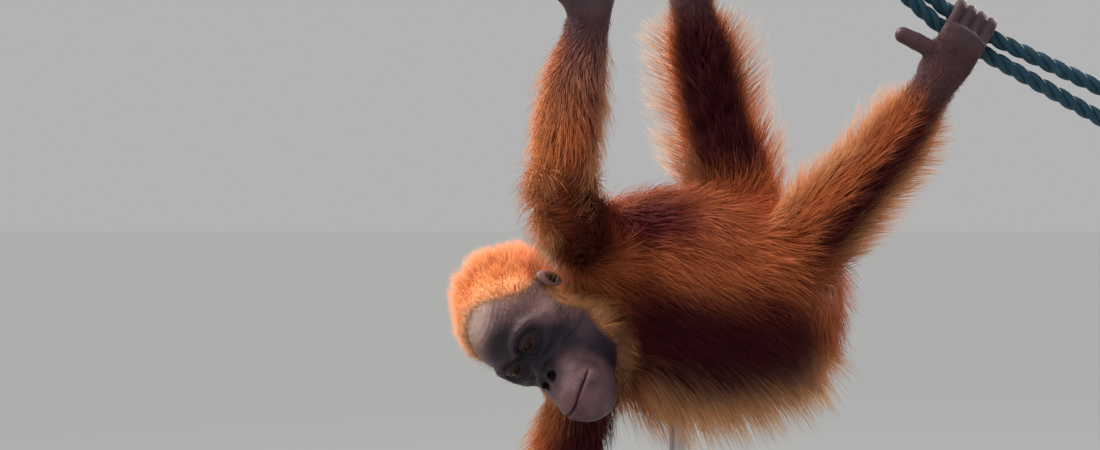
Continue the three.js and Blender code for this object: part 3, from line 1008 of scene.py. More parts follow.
class Finish:
    def __init__(self, name, **constants):
        self.material = bpy.data.materials.new(name)
        self.material.use_nodes = True
        self.tree = self.material.node_tree
        self.shader = self.tree.nodes["Principled BSDF"]
        for socket, value in constants.items():
            self.shader.inputs[socket.replace("_", " ")].default_value = value

    def link(self, value, socket):
        if isinstance(value, Wire):
            self.tree.links.new(value.socket, socket)
        else:
            socket.default_value = value

    def node(self, kind, settings=None, inputs=None, output=0):
        made = self.tree.nodes.new(kind)
        for name, value in (settings or {}).items():
            setattr(made, name, value)
        for name, value in (inputs or {}).items():
            self.link(value, made.inputs[name])
        return Wire(self, made.outputs[output])

    def maths(self, operation, *values):
        return self.node("ShaderNodeMath", {"operation": operation}, dict(enumerate(values)))

    def clamped(self, value):
        return self.node("ShaderNodeClamp", None, {"Value": value})

    def attribute(self, name, output="Color"):
        return self.node("ShaderNodeAttribute", {"attribute_name": name}, output=output)

    def place(self):
        return self.node("ShaderNodeTexCoord", output="Object")

    def scaled(self, vector, scale):
        return self.node("ShaderNodeMapping", None, {"Vector": vector, "Scale": scale})

    def noise(self, vector, scale, detail=3, roughness=0.5):
        return self.node("ShaderNodeTexNoise", None,
                         {"Vector": vector, "Scale": scale, "Detail": detail, "Roughness": roughness})

    def cells(self, vector, scale):
        return self.node("ShaderNodeTexVoronoi", {"feature": "DISTANCE_TO_EDGE"},
                         {"Vector": vector, "Scale": scale}, output="Distance")

    def mixed(self, share, a, b, blend="MIX"):
        made = self.tree.nodes.new("ShaderNodeMix")
        made.data_type = "RGBA"
        made.blend_type = blend
        self.link(share, made.inputs[0])
        self.link(a, made.inputs[6])
        self.link(b, made.inputs[7])
        return Wire(self, made.outputs[2])

    def bump(self, height, distance, strength=1.0, under=None):
        inputs = {"Height": height, "Distance": distance, "Strength": strength}
        if under is not None:
            inputs["Normal"] = under
        return self.node("ShaderNodeBump", None, inputs)

    def feed(self, **values):
        for socket, value in values.items():
            self.link(value, self.shader.inputs[socket.replace("_", " ")])
        return self.material


def colour(r, g, b):
    return (r, g, b, 1.0)


def skinMaterial():
    finish = Finish("skin", Subsurface_Weight=0.05, Specular_IOR_Level=0.22)
    where = finish.place()
    # The skin's colours, with their painted shade and painted light
    base = finish.attribute("markingsAndPaintedLight")
    bare = finish.attribute("bareness", "Fac")
    spots = finish.noise(where, 220, 4)
    blotches = finish.noise(where, 55, 3)
    freckles = finish.clamped((spots - 0.45) * 1.2) * 0.6
    base = finish.mixed(freckles, base, colour(0.30, 0.22, 0.22), "SOFT_LIGHT")
    base = finish.mixed(finish.clamped((blotches - 0.5) * 1.4), base, colour(0.02, 0.016, 0.02))
    folds = finish.cells(finish.scaled(where, (1, 1, 1.5)), 420)
    fine = finish.cells(where, 1100)
    height = finish.clamped(folds * 3.2) * 0.7 + finish.clamped(fine * 3) * 0.3
    return finish.feed(
        Base_Color=base,
        Roughness=0.46 + spots * 0.22 + (1 - bare) * 0.4,
        Normal=finish.bump(height, 0.00035, 0.55, finish.bump(spots, 0.0004, 0.4)),
    )


# The skin

skinSetup = {"furShare": 0.16}


def skinMesh():
    grid = openvdb.FloatGrid(fleshReach)
    grid.copyFromArray(fleshField)
    points, quads = grid.convertToQuads(isovalue=0.0)
    points = points.astype(float) * cell + gridLow
    quads = quads.astype(np.int64)
    # Faces point outwards: the solid's volume is above zero
    a, b, c, d = (points[quads[:, i]] for i in range(4))
    volume = (np.cross(a, b) * c).sum() + (np.cross(a, c) * d).sum()
    if volume < 0:
        quads = quads[:, ::-1]
    bare = np.maximum(faceBareness(points), handBareness(points))
    mesh = meshFrom("skin", points, quads)
    piece = bpy.data.objects.new("skin", mesh)
    bpy.context.scene.collection.objects.link(piece)
    group = piece.vertex_groups.new(name="furred")
    group.add(np.flatnonzero(bare < 0.02).tolist(), 1.0, "REPLACE")
    thin = piece.modifiers.new("thin", "DECIMATE")
    thin.ratio = skinSetup["furShare"] + (1 - skinSetup["furShare"]) * float((bare >= 0.02).mean())
    thin.vertex_group = "furred"
    mesh = evaluated(piece)
    bpy.data.objects.remove(piece)
    return mesh


# Splits the faces of a region in four, for finer folds
def refined(mesh, wanted):
    points = pointsOf(mesh)
    chosen = wanted(points)
    build = bmesh.new()
    build.from_mesh(mesh)
    build.verts.ensure_lookup_table()
    edges = [edge for edge in build.edges if chosen[edge.verts[0].index] and chosen[edge.verts[1].index]]
    bmesh.ops.subdivide_edges(build, edges=edges, cuts=1, use_grid_fill=True)
    bmesh.ops.triangulate(build, faces=[face for face in build.faces if len(face.verts) > 3])
    build.to_mesh(mesh)
    build.free()


# Moves points on to the exact surface
def settled(mesh, rounds, detail):
    points = pointsOf(mesh)
    normals = normalsOf(mesh)
    for _ in range(rounds):
        step = np.clip(bodyDistance(points, detail), -0.0025, 0.0025)
        points -= normals * step[:, None]
    mesh.vertices.foreach_set("co", points.astype(np.float32).ravel())
    mesh.update()


def nearEyesOrMouth(points):
    left, ahead, up = toHead(points).T
    side = np.abs(left)
    eyes = (np.hypot(side - eyeSetup["side"], up - eyeSetup["up"]) < 15) & (ahead > 44)
    nose = (side < 15) & (up < -8) & (up > -27) & (ahead > 70)
    mouth = (ahead > 86) & (np.abs(up - mouthLine(ahead)) < 4.5)
    return eyes | nose | mouth


def makeSkin():
    mesh = skinMesh()
    print("skin meshed:", len(mesh.vertices), "points")
    refined(mesh, lambda points: faceBareness(points) > 0.3)
    settled(mesh, 2, False)
    refined(mesh, nearEyesOrMouth)
    settled(mesh, 3, True)
    points = pointsOf(mesh)
    shares = partShares(points)
    setColours(mesh, "markingsAndPaintedLight", skinColours(points, normalsOf(mesh), shares))
    setValues(mesh, "bareness", np.maximum(faceBareness(points), handBareness(points)))
    mesh.polygons.foreach_set("use_smooth", np.ones(len(mesh.polygons), bool))
    mesh.materials.clear()
    skin = addPiece("skin", mesh, skinMaterial())
    kept = ("stand_", "perch_", "eye_")
    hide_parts(*[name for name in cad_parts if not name.startswith(kept)])
    print("skin:", sum(len(face.vertices) - 2 for face in mesh.polygons), "triangles")
    return skin


skin = makeSkin()

# The eyes

def eyeMaterial():
    finish = Finish("eye", Coat_Weight=0.14, Coat_Roughness=0.02, Specular_IOR_Level=0.05)
    share = finish.attribute("fromPupil", "Fac")
    ray = finish.attribute("aroundPupil", "Fac")
    streaks = finish.noise(finish.node("ShaderNodeCombineXYZ", None, {"X": ray * 9, "Y": share * 2}), 4, 4)
    pupil = finish.clamped((eyeSetup["pupil"] - share) * 40 + 0.5)
    white = finish.clamped((share - eyeSetup["iris"]) * 22 + 0.5)
    iris = finish.mixed(streaks, colour(0.014, 0.005, 0.002), colour(0.046, 0.017, 0.007))
    veins = finish.noise(finish.place(), 300, 3)
    outer = finish.mixed(veins, colour(0.007, 0.004, 0.003), colour(0.016, 0.009, 0.007))
    base = finish.mixed(white, iris, outer)
    base = finish.mixed(pupil, base, colour(0.004, 0.003, 0.003))
    return finish.feed(Base_Color=base, Roughness=0.12 + white * 0.12)


def makeEyes():
    material = eyeMaterial()
    rings, sides = 28, 40
    radius = eyeSetup["radius"] * mm
    gaze = unit(headAhead + 0.22 * headLeft - 0.02 * headUp)
    across = unit(np.cross(gaze, headUp))
    upward = np.cross(across, gaze)
    for sideName, sign in (("left", 1), ("right", -1)):
        centre = inHead(sign * eyeSetup["side"], eyeSetup["ahead"], eyeSetup["up"])
        polar = np.linspace(0, np.pi, rings + 1)[1:-1]
        around = np.arange(sides) * 2 * np.pi / sides
        p, a = np.meshgrid(polar, around, indexing="ij")
        reach = radius * (1 + eyeSetup["bulge"] * smoothStep(0.72, 0.30, p))
        ringPoints = centre + reach[..., None] * (
            np.cos(p)[..., None] * gaze
            + (np.sin(p) * np.cos(a))[..., None] * across + (np.sin(p) * np.sin(a))[..., None] * upward)
        front = centre + gaze * radius * (1 + eyeSetup["bulge"])
        points = np.vstack([ringPoints.reshape(-1, 3), front, centre - gaze * radius])
        count = (rings - 1) * sides
        faces = []
        for ring in range(rings - 2):
            for i in range(sides):
                first = ring * sides + i
                second = ring * sides + (i + 1) % sides
                faces.append((first, first + sides, second + sides))
                faces.append((first, second + sides, second))
        for i in range(sides):
            faces.append((count, i, (i + 1) % sides))
            last = (rings - 2) * sides
            faces.append((count + 1, last + (i + 1) % sides, last + i))
        mesh = meshFrom("eye." + sideName, points, faces)
        setValues(mesh, "fromPupil", np.append(p.ravel(), [0, np.pi]))
        setValues(mesh, "aroundPupil", np.append(np.abs(a.ravel() - np.pi), [0, 0]))
        eye = addPiece("eye_ball_" + sideName, mesh, material)
        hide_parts("eye_" + sideName)


makeEyes()
print("eyes made")

# Nails

nailSetup = {"from": -0.75, "to": 0.72, "halfTurn": 48, "thickness": 0.6}


def nailMaterial():
    finish = Finish("nail", Coat_Weight=0.12, Coat_Roughness=0.3, Specular_IOR_Level=0.3)
    where = finish.place()
    ridges = finish.noise(finish.scaled(where, (900, 900, 120)), 1, 2)
    base = finish.mixed(ridges, colour(0.030, 0.020, 0.020), colour(0.095, 0.062, 0.052))
    return finish.feed(Base_Color=base, Roughness=0.32 + ridges * 0.2,
                       Normal=finish.bump(ridges, 0.0001, 0.4))


def makeNails():
    points = []
    faces = []
    arcs, rows = 9, 7
    for tip, ahead, outward, radius in digitTips:
        across = np.cross(outward, ahead)
        start = len(points)
        for shell in (0.35, -0.35):
            for row in range(rows):
                along = row / (rows - 1)
                narrow = 1 - 0.25 * max(0, along - 0.6) ** 2 / 0.16 - 0.3 * max(0, 0.25 - along)
                for arc in range(arcs):
                    angle = math.radians(nailSetup["halfTurn"]) * (2 * arc / (arcs - 1) - 1) * narrow
                    out = (radius * (0.97 - 0.16 * along ** 2) + shell * nailSetup["thickness"]) * mm
                    reach = radius * mix(nailSetup["from"], nailSetup["to"], along) * mm
                    points.append(tip + ahead * reach + outward * out * math.cos(angle)
                                  + across * out * math.sin(angle))
        half = rows * arcs
        for row in range(rows - 1):
            for arc in range(arcs - 1):
                a = start + row * arcs + arc
                faces.append((a, a + 1, a + arcs + 1, a + arcs))
                b = a + half
                faces.append((b, b + arcs, b + arcs + 1, b + 1))
        rim = [start + arc for arc in range(arcs)]
        rim += [start + row * arcs + arcs - 1 for row in range(1, rows)]
        rim += [start + (rows - 1) * arcs + arc for arc in range(arcs - 2, -1, -1)]
        rim += [start + row * arcs for row in range(rows - 2, 0, -1)]
        for a, b in zip(rim, rim[1:] + rim[:1]):
            faces.append((a, a + half, b + half, b))
    mesh = meshFrom("nails", np.array(points), faces)
    build = bmesh.new()
    build.from_mesh(mesh)
    bmesh.ops.recalc_face_normals(build, faces=build.faces)
    build.to_mesh(mesh)
    build.free()
    addPiece("nails", mesh, nailMaterial())


makeNails()
print("nails made:", len(digitTips))

# The coat: thin closed tufts rooted in the skin

coatStyles = {
    # length in mm, lift in degrees, droop, density, share of long loose hair
    "head": (25, 26, 0.12, 1.5, 0.30),
    "neck": (36, 26, 0.35, 1.1, 0.35),
    "trunk": (50, 20, 0.35, 1.0, 0.35),
    "upperArm.left": (44, 24, 0.40, 1.0, 0.40),
    "forearm.left": (40, 26, 0.35, 1.0, 0.40),
    "hand.left": (13, 20, 0.10, 0.6, 0.15),
    "upperArm.right": (46, 26, 0.45, 1.0, 0.45),
    "forearm.right": (42, 28, 0.40, 1.0, 0.45),
    "hand.right": (13, 20, 0.10, 0.6, 0.15),
    "thigh.left": (44, 32, 0.25, 1.0, 0.45),
    "shank.left": (42, 36, 0.25, 1.0, 0.45),
    "foot.left": (12, 20, 0.10, 0.6, 0.15),
    "thigh.right": (44, 30, 0.35, 1.0, 0.45),
    "shank.right": (38, 34, 0.30, 1.0, 0.45),
    "foot.right": (12, 20, 0.10, 0.6, 0.15),
}
coatSetup = {
    "width": 0.92,
    "thickness": 0.5,
    "uvPatch": 0.003,
    # how far the longest hair may stand out of the solids' box
    "overBox": 13 * mm,
    # where a tuft's rings lie along it, and how wide it is there
    "short": ((0, 0.45), (0.9, 0.85)),
    "long": ((0, 0.3, 0.66), (0.85, 1.0, 0.66)),
}
# pieces, tufts in each, and kind of tuft
coatCounts = {
    "head": (2, 18500, "short"),
    "trunk": (3, 11000, "long"),
    "arm_left": (1, 9800, "long"),
    "arm_right": (1, 8600, "long"),
    "leg_left": (1, 9500, "long"),
    "leg_right": (1, 9500, "long"),
}


def coatGroup(name):
    part, _, side = name.partition(".")
    if part in ("head", "neck"):
        return "head"
    if part == "trunk":
        return "trunk"
    return ("leg_" if part in ("thigh", "shank", "foot") else "arm_") + side


coatLay = {
    "trunk": (0.93, -0.05, -0.30),
    # what is added on the rump, where the hair falls
    "rump": (-0.25, 0, -0.55),
    # how strongly wide and narrow whorls turn it
    "whorls": (0.24, 0.06),
}


# Which way the hair lies: out from the face over the head, back along the trunk, wrist to elbow
# on the forearm and away from the body on the other parts
def coatFlow(points, normals, shares):
    flow = np.zeros_like(points)
    fromFace = points - inHead(0, 60, -8)
    fromFace = unit(fromFace - normals * (fromFace * normals).sum(1, keepdims=True))
    for i, (name, (start, end, _)) in enumerate(bones.items()):
        part = name.split(".")[0]
        if part == "head":
            way = fromFace
        elif part == "neck":
            way = mix(fromFace, unit(neckRoot - inHead(0, 0, -30)), 0.6)
        elif part == "trunk":
            way = unit(coatLay["trunk"] + smoothStep(0.07, 0.15, points[:, :1]) * coatLay["rump"])
        elif part == "forearm":
            way = unit(start - end)
        else:
            way = unit(end - start)
        flow += shares[:, i:i + 1] * way
    wide, narrow = coatLay["whorls"]
    flow += wide * wander(points, 0.038) + narrow * wander(points, 0.010, 7.3)
    return unit(flow - normals * (flow * normals).sum(1, keepdims=True))


def sampledRoots(skin, random):
    mesh = skin.data
    mesh.calc_loop_triangles()
    corners = np.empty(len(mesh.loop_triangles) * 3, np.int32)
    mesh.loop_triangles.foreach_get("vertices", corners)
    corners = corners.reshape(-1, 3)
    points = pointsOf(mesh)
    a, b, c = (points[corners[:, i]] for i in range(3))
    middle = (a + b + c) / 3
    area = np.linalg.norm(np.cross(b - a, c - a), axis=1) / 2
    shares = partShares(middle)
    group = np.array([coatGroup(name) for name in boneNames])[shares.argmax(1)]
    density = shares @ np.array([coatStyles[name][3] for name in boneNames])
    bare = np.maximum(faceBareness(middle), handBareness(middle))
    density = density * np.clip(1 - 1.15 * bare, 0, 1)
    # Few fine hairs stand on the outer part of the face and the forehead
    face = faceBareness(middle)
    left, ahead, up = toHead(middle).T
    wisps = (face > 0.5) * smoothStep(0.70, 0.95, hairline(middle)) * (ahead < 50) * (np.abs(left) < 57)
    density = density + 0.19 * wisps * smoothStep(-40, -10, up)
    roots = {}
    for name, (pieces, count, _) in coatCounts.items():
        weight = area * density * (group == name)
        picked = random.choice(len(area), pieces * count, p=weight / weight.sum())
        u, v = random.random((2, len(picked), 1))
        flip = u + v > 1
        u, v = np.where(flip, 1 - u, u), np.where(flip, 1 - v, v)
        roots[name] = a[picked] + (b[picked] - a[picked]) * u + (c[picked] - a[picked]) * v
    return roots


# Where a root lies on the unrolled skin: round and along the part that carries it
def unrolled(points, name):
    if name == "head":
        local = toHead(points) - np.array([0, 0, -10])
        turn = np.arctan2(local[:, 0], local[:, 2])
        tilt = np.arctan2(np.hypot(local[:, 0], local[:, 2]), local[:, 1])
        return np.stack([turn / (2 * np.pi) + 0.5, tilt / np.pi], axis=1)
    if name == "trunk":
        line = [spot(-130, 4, 643), spot(-20, 4, 641), spot(125, 6, 645)]
    else:
        kind, side = name.split("_")
        joint = joints[side]
        names = ("shoulder", "elbow", "wrist") if kind == "arm" else ("hip", "knee", "ankle")
        end = hands[side] if kind == "arm" else feet[side]
        line = [*(joint[n] for n in names), end.at(0, 0, 90)]
    best = np.full(len(points), 9.0)
    unrolledPlace = np.zeros((len(points), 2))
    for i, (start, end) in enumerate(zip(line, line[1:])):
        axis = end - start
        t = np.clip((points - start) @ axis / (axis @ axis), 0, 1)
        offset = points - start - t[:, None] * axis
        away = np.linalg.norm(offset, axis=1)
        across = unit(np.cross(axis, (0.3, 1, 0.1)))
        turn = np.arctan2(offset @ across, offset @ np.cross(unit(axis), across))
        spotHere = np.stack([turn / (2 * np.pi) + 0.5, (i + t) / (len(line) - 1)], axis=1)
        nearer = away < best
        best = np.where(nearer, away, best)
        unrolledPlace[nearer] = spotHere[nearer]
    return unrolledPlace


def hairMaterial(name):
    finish = Finish(name, Specular_IOR_Level=0.12)
    where = finish.place()
    # The coat's colours, with their painted shade and painted light
    base = finish.attribute("markingsAndPaintedLight")
    streaks = finish.noise(where, 900, 2)
    base = finish.mixed(finish.clamped((streaks - 0.5) * 2) * 0.25, base, colour(0, 0, 0))
    return finish.feed(Base_Color=base, Roughness=0.42 + streaks * 0.25,
                       Normal=finish.bump(streaks, 0.0002, 0.3))


# How long each tuft is, how far it lifts from the skin, how much it droops, and how wide it is
def tuftSizes(name, roots, normals, shares, random):
    count = len(roots)
    length, lift, droop, _, loose = (shares @ np.array([coatStyles[bone] for bone in boneNames])).T
    left, ahead, up = toHead(roots).T
    head = shares[:, boneNames.index("head")]
    face = faceBareness(roots)
    # Short beside the face and on its skin, longer behind the head and on the hanging flank,
    # and growing gradually from the wrists and ankles
    nearFace = head * smoothStep(1.5, 0.95, hairline(roots)) * smoothStep(-40, 0, ahead)
    nearFace *= 1 - 0.75 * smoothStep(20, -10, left) * smoothStep(-20, 20, up)
    nearEar = head * smoothStep(30, 14, np.hypot(ahead + 9, up)) * (np.abs(left) > 40)
    length = length * (1 - 0.58 * nearFace) * (1 - 0.15 * face) * (1 - 0.6 * nearEar)
    length = length + 9 * head * smoothStep(-10, -60, ahead)
    ends = endShare(roots, 70 if name.startswith("leg") else 48)
    length = length * (1 - 0.66 * ends)
    lowTrunk = shares[:, boneNames.index("trunk")] * smoothStep(0.64, 0.56, roots[:, 2])
    hanging = lowTrunk * smoothStep(-0.3, -0.85, normals[:, 2])
    length = length + 16 * lowTrunk + hanging * (10 + 22 * smoothStep(0.06, -0.04, roots[:, 0]))
    # A soft halo stands out from both sides of the legs
    legs = sum(shares[:, i] for i, bone in enumerate(boneNames) if bone[:5] in ("thigh", "shank"))
    halo = legs * smoothStep(0.45, 0.85, np.abs(normals @ unit((0.9, 0, -0.35))))
    halo = halo * np.where(roots[:, 0] > 0.105, 0.3, 1.0)
    length = length + 16 * halo * (1 - ends)
    # Long hair hangs from the raised upper arm, and lies closer where the forearm's hair meets it
    under = shares[:, boneNames.index("upperArm.left")] * smoothStep(0.1, -0.5, normals[:, 0])
    length = length + 10 * under
    elbow = hump(np.linalg.norm(roots - joints["left"]["elbow"], axis=1), 0, 0.055)
    droop = droop + 1.2 * under + 0.5 * lowTrunk + 0.8 * hanging
    isLoose = random.random(count) < loose
    length = length * np.where(isLoose, 1.0, 0.62) * random.uniform(0.75, 1.15, count) * mm
    topHead = head * smoothStep(20, 50, up) * smoothStep(30, 0, left)
    lift = (lift + 14 * halo + 12 * topHead) * np.where(isLoose, 1.5, 0.8) + random.normal(0, 7, count)
    lift = lift * (1 - 0.5 * elbow) - 8 * lowTrunk + 34 * hanging
    turn = random.normal(0, 0.15, count) + 0.14 * wander(roots, 0.006, 3.1)[:, 0]
    width = coatSetup["width"] * mm * random.uniform(0.7, 1.3, count) * np.where(isLoose, 0.62, 1.1)
    return {
        "length": length,
        "lift": np.radians(np.clip(lift, 8, 75)),
        "droop": droop,
        "turn": turn,
        "width": width * (1 - 0.7 * face) * (1 - 0.3 * head) * (1 - 0.4 * ends),
        # long hair is pale at its tips as painted light shining through it, most where it hangs below the
        # trunk and stands out from the legs
        "loose": isLoose,
        "pale": 0.5 * (hanging + halo),
        "onFace": (face > 0.5)[:, None],
    }


# The places of each tuft's rings and of its tip, and the way it runs at each
def tuftLines(roots, normals, shares, sizes, stops):
    flow = coatFlow(roots, normals, shares)
    turn = sizes["turn"][:, None]
    flow = unit(flow * np.cos(turn) + np.cross(normals, flow) * np.sin(turn))
    over = coatSetup["overBox"]
    line = [roots - normals * 0.8 * mm]
    ways = []
    for start, stop in zip(stops, stops[1:]):
        middle = (start + stop) / 2
        angle = sizes["lift"][:, None] * (1 - 0.55 * middle)
        way = flow * np.cos(angle) + normals * np.sin(angle)
        way = way + np.array([0, 0, -1.0]) * (sizes["droop"] * middle)[:, None]
        way = unit(way + 0.12 * wander(line[-1], 0.02, 5.0))
        spotNext = line[-1] + way * (sizes["length"] * (stop - start))[:, None]
        # Out of the skin again where it would run into it, and no further than the box allows
        depth = (0.6 + 3.0 * middle) * mm - sampleField(spotNext)
        spotNext = spotNext + fieldSlope(spotNext) * np.maximum(depth, 0)[:, None]
        spotNext = np.clip(spotNext, cadBox[0] - over, cadBox[1] + over)
        ways.append(unit(spotNext - line[-1]))
        line.append(spotNext)
    return line, [*ways, ways[-1]]


def tuftColours(roots, normals, shares, sizes, random):
    count = len(roots)
    root, tip = coatColoursAndPaintedLight(roots, normals, shares)
    shade = random.uniform(0.8, 1.2, count)[:, None]
    lit = smoothStep(0.25, 0.6, tip[:, 0])
    gold = np.where(random.random(count) < 0.15, 0.3, 0.0) * lit
    tip = mix(tip * shade, palette["gold"], gold[:, None])
    # Painted light: the tips of long hair are painted toward cream where light would shine through them
    pale = sizes["loose"] * (0.12 * random.random(count) * lit + sizes["pale"])
    tip = mix(tip, palette["cream"], np.clip(pale, 0, 0.8)[:, None])
    root = np.where(sizes["onFace"], palette["mauve"], root * shade)
    return root, np.where(sizes["onFace"], palette["cream"] * 0.8, tip)


# A tuft is three-sided: closed at its root, with rings along it, and ending in a point
def tuftFaces(rings):
    pattern = [(0, 2, 1)]
    sides = ((0, 1), (1, 2), (2, 0))
    for i in range(rings - 1):
        for a, b in sides:
            low, high = i * 3, i * 3 + 3
            pattern.append((low + a, low + b, high + b))
            pattern.append((low + a, high + b, high + a))
    last = (rings - 1) * 3
    pattern += [(last + a, last + b, last + 3) for a, b in sides]
    return np.array(pattern)


def growCoat(name, roots, random, material):
    pieces, _, kind = coatCounts[name]
    stops, swell = coatSetup[kind]
    rings = len(stops)
    normals = fieldSlope(roots)
    shares = partShares(roots)
    sizes = tuftSizes(name, roots, normals, shares, random)
    line, ways = tuftLines(roots, normals, shares, sizes, [*stops, 1.0])
    rootTint, tipTint = tuftColours(roots, normals, shares, sizes, random)

    unrolledRoots = 0.02 + 0.95 * unrolled(roots, name)
    perTuft = rings * 3 + 1
    points = np.empty((len(roots), perTuft, 3))
    colours = np.empty((len(roots), perTuft, 3))
    flat = np.empty((len(roots), perTuft, 2))
    for i in range(rings):
        across = unit(np.cross(ways[i], normals))
        above = np.cross(across, ways[i])
        half = sizes["width"] * swell[i] / 2
        for j, (u, v) in enumerate(((-1, -0.5), (1, -0.5), (0, 0.8))):
            k = i * 3 + j
            points[:, k] = line[i] + across * (half * u)[:, None]
            points[:, k] += above * (half * v * coatSetup["thickness"] * 1.6)[:, None]
            colours[:, k] = mix(rootTint, tipTint, 0.15 + 0.85 * stops[i])
            flat[:, k] = unrolledRoots + coatSetup["uvPatch"] * np.array([(u + 1) / 2, stops[i]])
    points[:, -1] = line[-1]
    colours[:, -1] = tipTint
    flat[:, -1] = unrolledRoots + coatSetup["uvPatch"] * np.array([0.5, 1.0])

    pattern = tuftFaces(rings)
    order = np.argsort(unrolledRoots[:, 0]) if pieces > 1 else np.arange(len(roots))
    for i, chosen in enumerate(np.array_split(order, pieces)):
        faces = (np.arange(len(chosen))[:, None, None] * perTuft + pattern).reshape(-1, 3)
        pieceName = "coat_" + name + (f"_{i + 1}" if pieces > 1 else "")
        mesh = meshFrom(pieceName, points[chosen].reshape(-1, 3), faces)
        setColours(mesh, "markingsAndPaintedLight", np.clip(colours[chosen].reshape(-1, 3), 0, 1))
        layer = mesh.uv_layers.new(name="OFBake")
        corners = flat[chosen].reshape(-1, 2)[faces.ravel()]
        layer.data.foreach_set("uv", corners.astype(np.float32).ravel())
        addPiece(pieceName, mesh, material)
        print(pieceName + ":", len(faces), "triangles")


def makeCoat():
    random = np.random.default_rng(seed)
    roots = sampledRoots(skin, random)
    material = hairMaterial("hair")
    for name in coatCounts:
        growCoat(name, roots[name], random, material)


makeCoat()

# Ropes: three strands laid round each other along each rope's line

ropeSetup = {"radius": 9 * mm, "turnLength": 58 * mm, "step": 3 * mm, "sides": 10, "strandShare": 0.5}


def ropeMaterial():
    finish = Finish("rope", Specular_IOR_Level=0.4)
    along = finish.attribute("along", "Fac")
    around = finish.attribute("around", "Fac")
    where = finish.place()
    yarn = finish.node("ShaderNodeCombineXYZ", None, {"X": around * 14 + along * 260, "Y": along * 18})
    fibres = finish.noise(yarn, 2.2, 3)
    wear = finish.noise(where, 70, 4)
    base = finish.mixed(fibres, colour(0.002, 0.020, 0.040), colour(0.008, 0.074, 0.118))
    base = finish.mixed(finish.clamped((wear - 0.56) * 4) * 0.5, base, colour(0.05, 0.13, 0.17))
    return finish.feed(Base_Color=base, Roughness=0.5 + fibres * 0.3,
                       Normal=finish.bump(fibres, 0.0006, 0.8))


def ropeTree():
    tree = bpy.data.node_groups.new("laidRope", "GeometryNodeTree")
    face = tree.interface
    face.new_socket("Line", in_out="INPUT", socket_type="NodeSocketGeometry")
    face.new_socket("Radius", in_out="INPUT", socket_type="NodeSocketFloat")
    face.new_socket("Turn Length", in_out="INPUT", socket_type="NodeSocketFloat")
    face.new_socket("Step", in_out="INPUT", socket_type="NodeSocketFloat")
    face.new_socket("Strand Share", in_out="INPUT", socket_type="NodeSocketFloat")
    face.new_socket("Material", in_out="INPUT", socket_type="NodeSocketMaterial")
    face.new_socket("Rope", in_out="OUTPUT", socket_type="NodeSocketGeometry")

    def add(kind, settings=None, inputs=None):
        made = tree.nodes.new(kind)
        for name, value in (settings or {}).items():
            setattr(made, name, value)
        for name, value in (inputs or {}).items():
            if isinstance(value, bpy.types.NodeSocket):
                tree.links.new(value, made.inputs[name])
            else:
                made.inputs[name].default_value = value
        return made

    def maths(operation, a, b=0.0):
        return add("ShaderNodeMath", {"operation": operation}, {0: a, 1: b}).outputs[0]

    given = add("NodeGroupInput").outputs
    line = add("GeometryNodeResampleCurve", {"mode": "LENGTH"},
               {"Curve": given["Line"], "Length": given["Step"]})
    length = add("GeometryNodeSplineParameter").outputs["Length"]
    normal = add("GeometryNodeInputNormal").outputs[0]
    tangent = add("GeometryNodeInputTangent").outputs[0]
    binormal = add("ShaderNodeVectorMath", {"operation": "CROSS_PRODUCT"},
                   {0: tangent, 1: normal}).outputs[0]
    strandRadius = maths("MULTIPLY", given["Radius"], given["Strand Share"])
    reach = maths("SUBTRACT", given["Radius"], strandRadius)
    strandRing = add("GeometryNodeCurvePrimitiveCircle", None,
                     {"Resolution": ropeSetup["sides"], "Radius": strandRadius})
    around = add("GeometryNodeStoreNamedAttribute", {"data_type": "FLOAT", "domain": "POINT"},
                 {"Geometry": strandRing.outputs[0], "Name": "around",
                  "Value": add("GeometryNodeSplineParameter").outputs["Factor"]})
    joined = add("GeometryNodeJoinGeometry")
    for strand in range(3):
        turns = maths("ADD", maths("DIVIDE", length, given["Turn Length"]), strand / 3)
        angle = maths("MULTIPLY", turns, 2 * math.pi)
        x = maths("MULTIPLY", maths("COSINE", angle), reach)
        y = maths("MULTIPLY", maths("SINE", angle), reach)
        shift = add("ShaderNodeVectorMath", {"operation": "ADD"}, {
            0: add("ShaderNodeVectorMath", {"operation": "SCALE"}, {0: normal, "Scale": x}).outputs[0],
            1: add("ShaderNodeVectorMath", {"operation": "SCALE"}, {0: binormal, "Scale": y}).outputs[0],
        })
        moved = add("GeometryNodeSetPosition", None,
                    {"Geometry": line.outputs[0], "Offset": shift.outputs[0]})
        named = add("GeometryNodeStoreNamedAttribute", {"data_type": "FLOAT", "domain": "POINT"},
                    {"Geometry": moved.outputs[0], "Name": "along", "Value": length})
        tube = add("GeometryNodeCurveToMesh", None,
                   {"Curve": named.outputs[0], "Profile Curve": around.outputs[0], "Fill Caps": True})
        tree.links.new(tube.outputs[0], joined.inputs[0])
    real = add("GeometryNodeRealizeInstances", None, {"Geometry": joined.outputs[0]})
    smooth = add("GeometryNodeSetShadeSmooth", None, {"Geometry": real.outputs[0]})
    painted = add("GeometryNodeSetMaterial", None,
                  {"Geometry": smooth.outputs[0], "Material": given["Material"]})
    result = add("NodeGroupOutput")
    tree.links.new(painted.outputs[0], result.inputs[0])
    return tree


def setInput(modifier, name, value):
    for item in modifier.node_group.interface.items_tree:
        if item.in_out == "INPUT" and item.name == name:
            modifier[item.identifier] = value


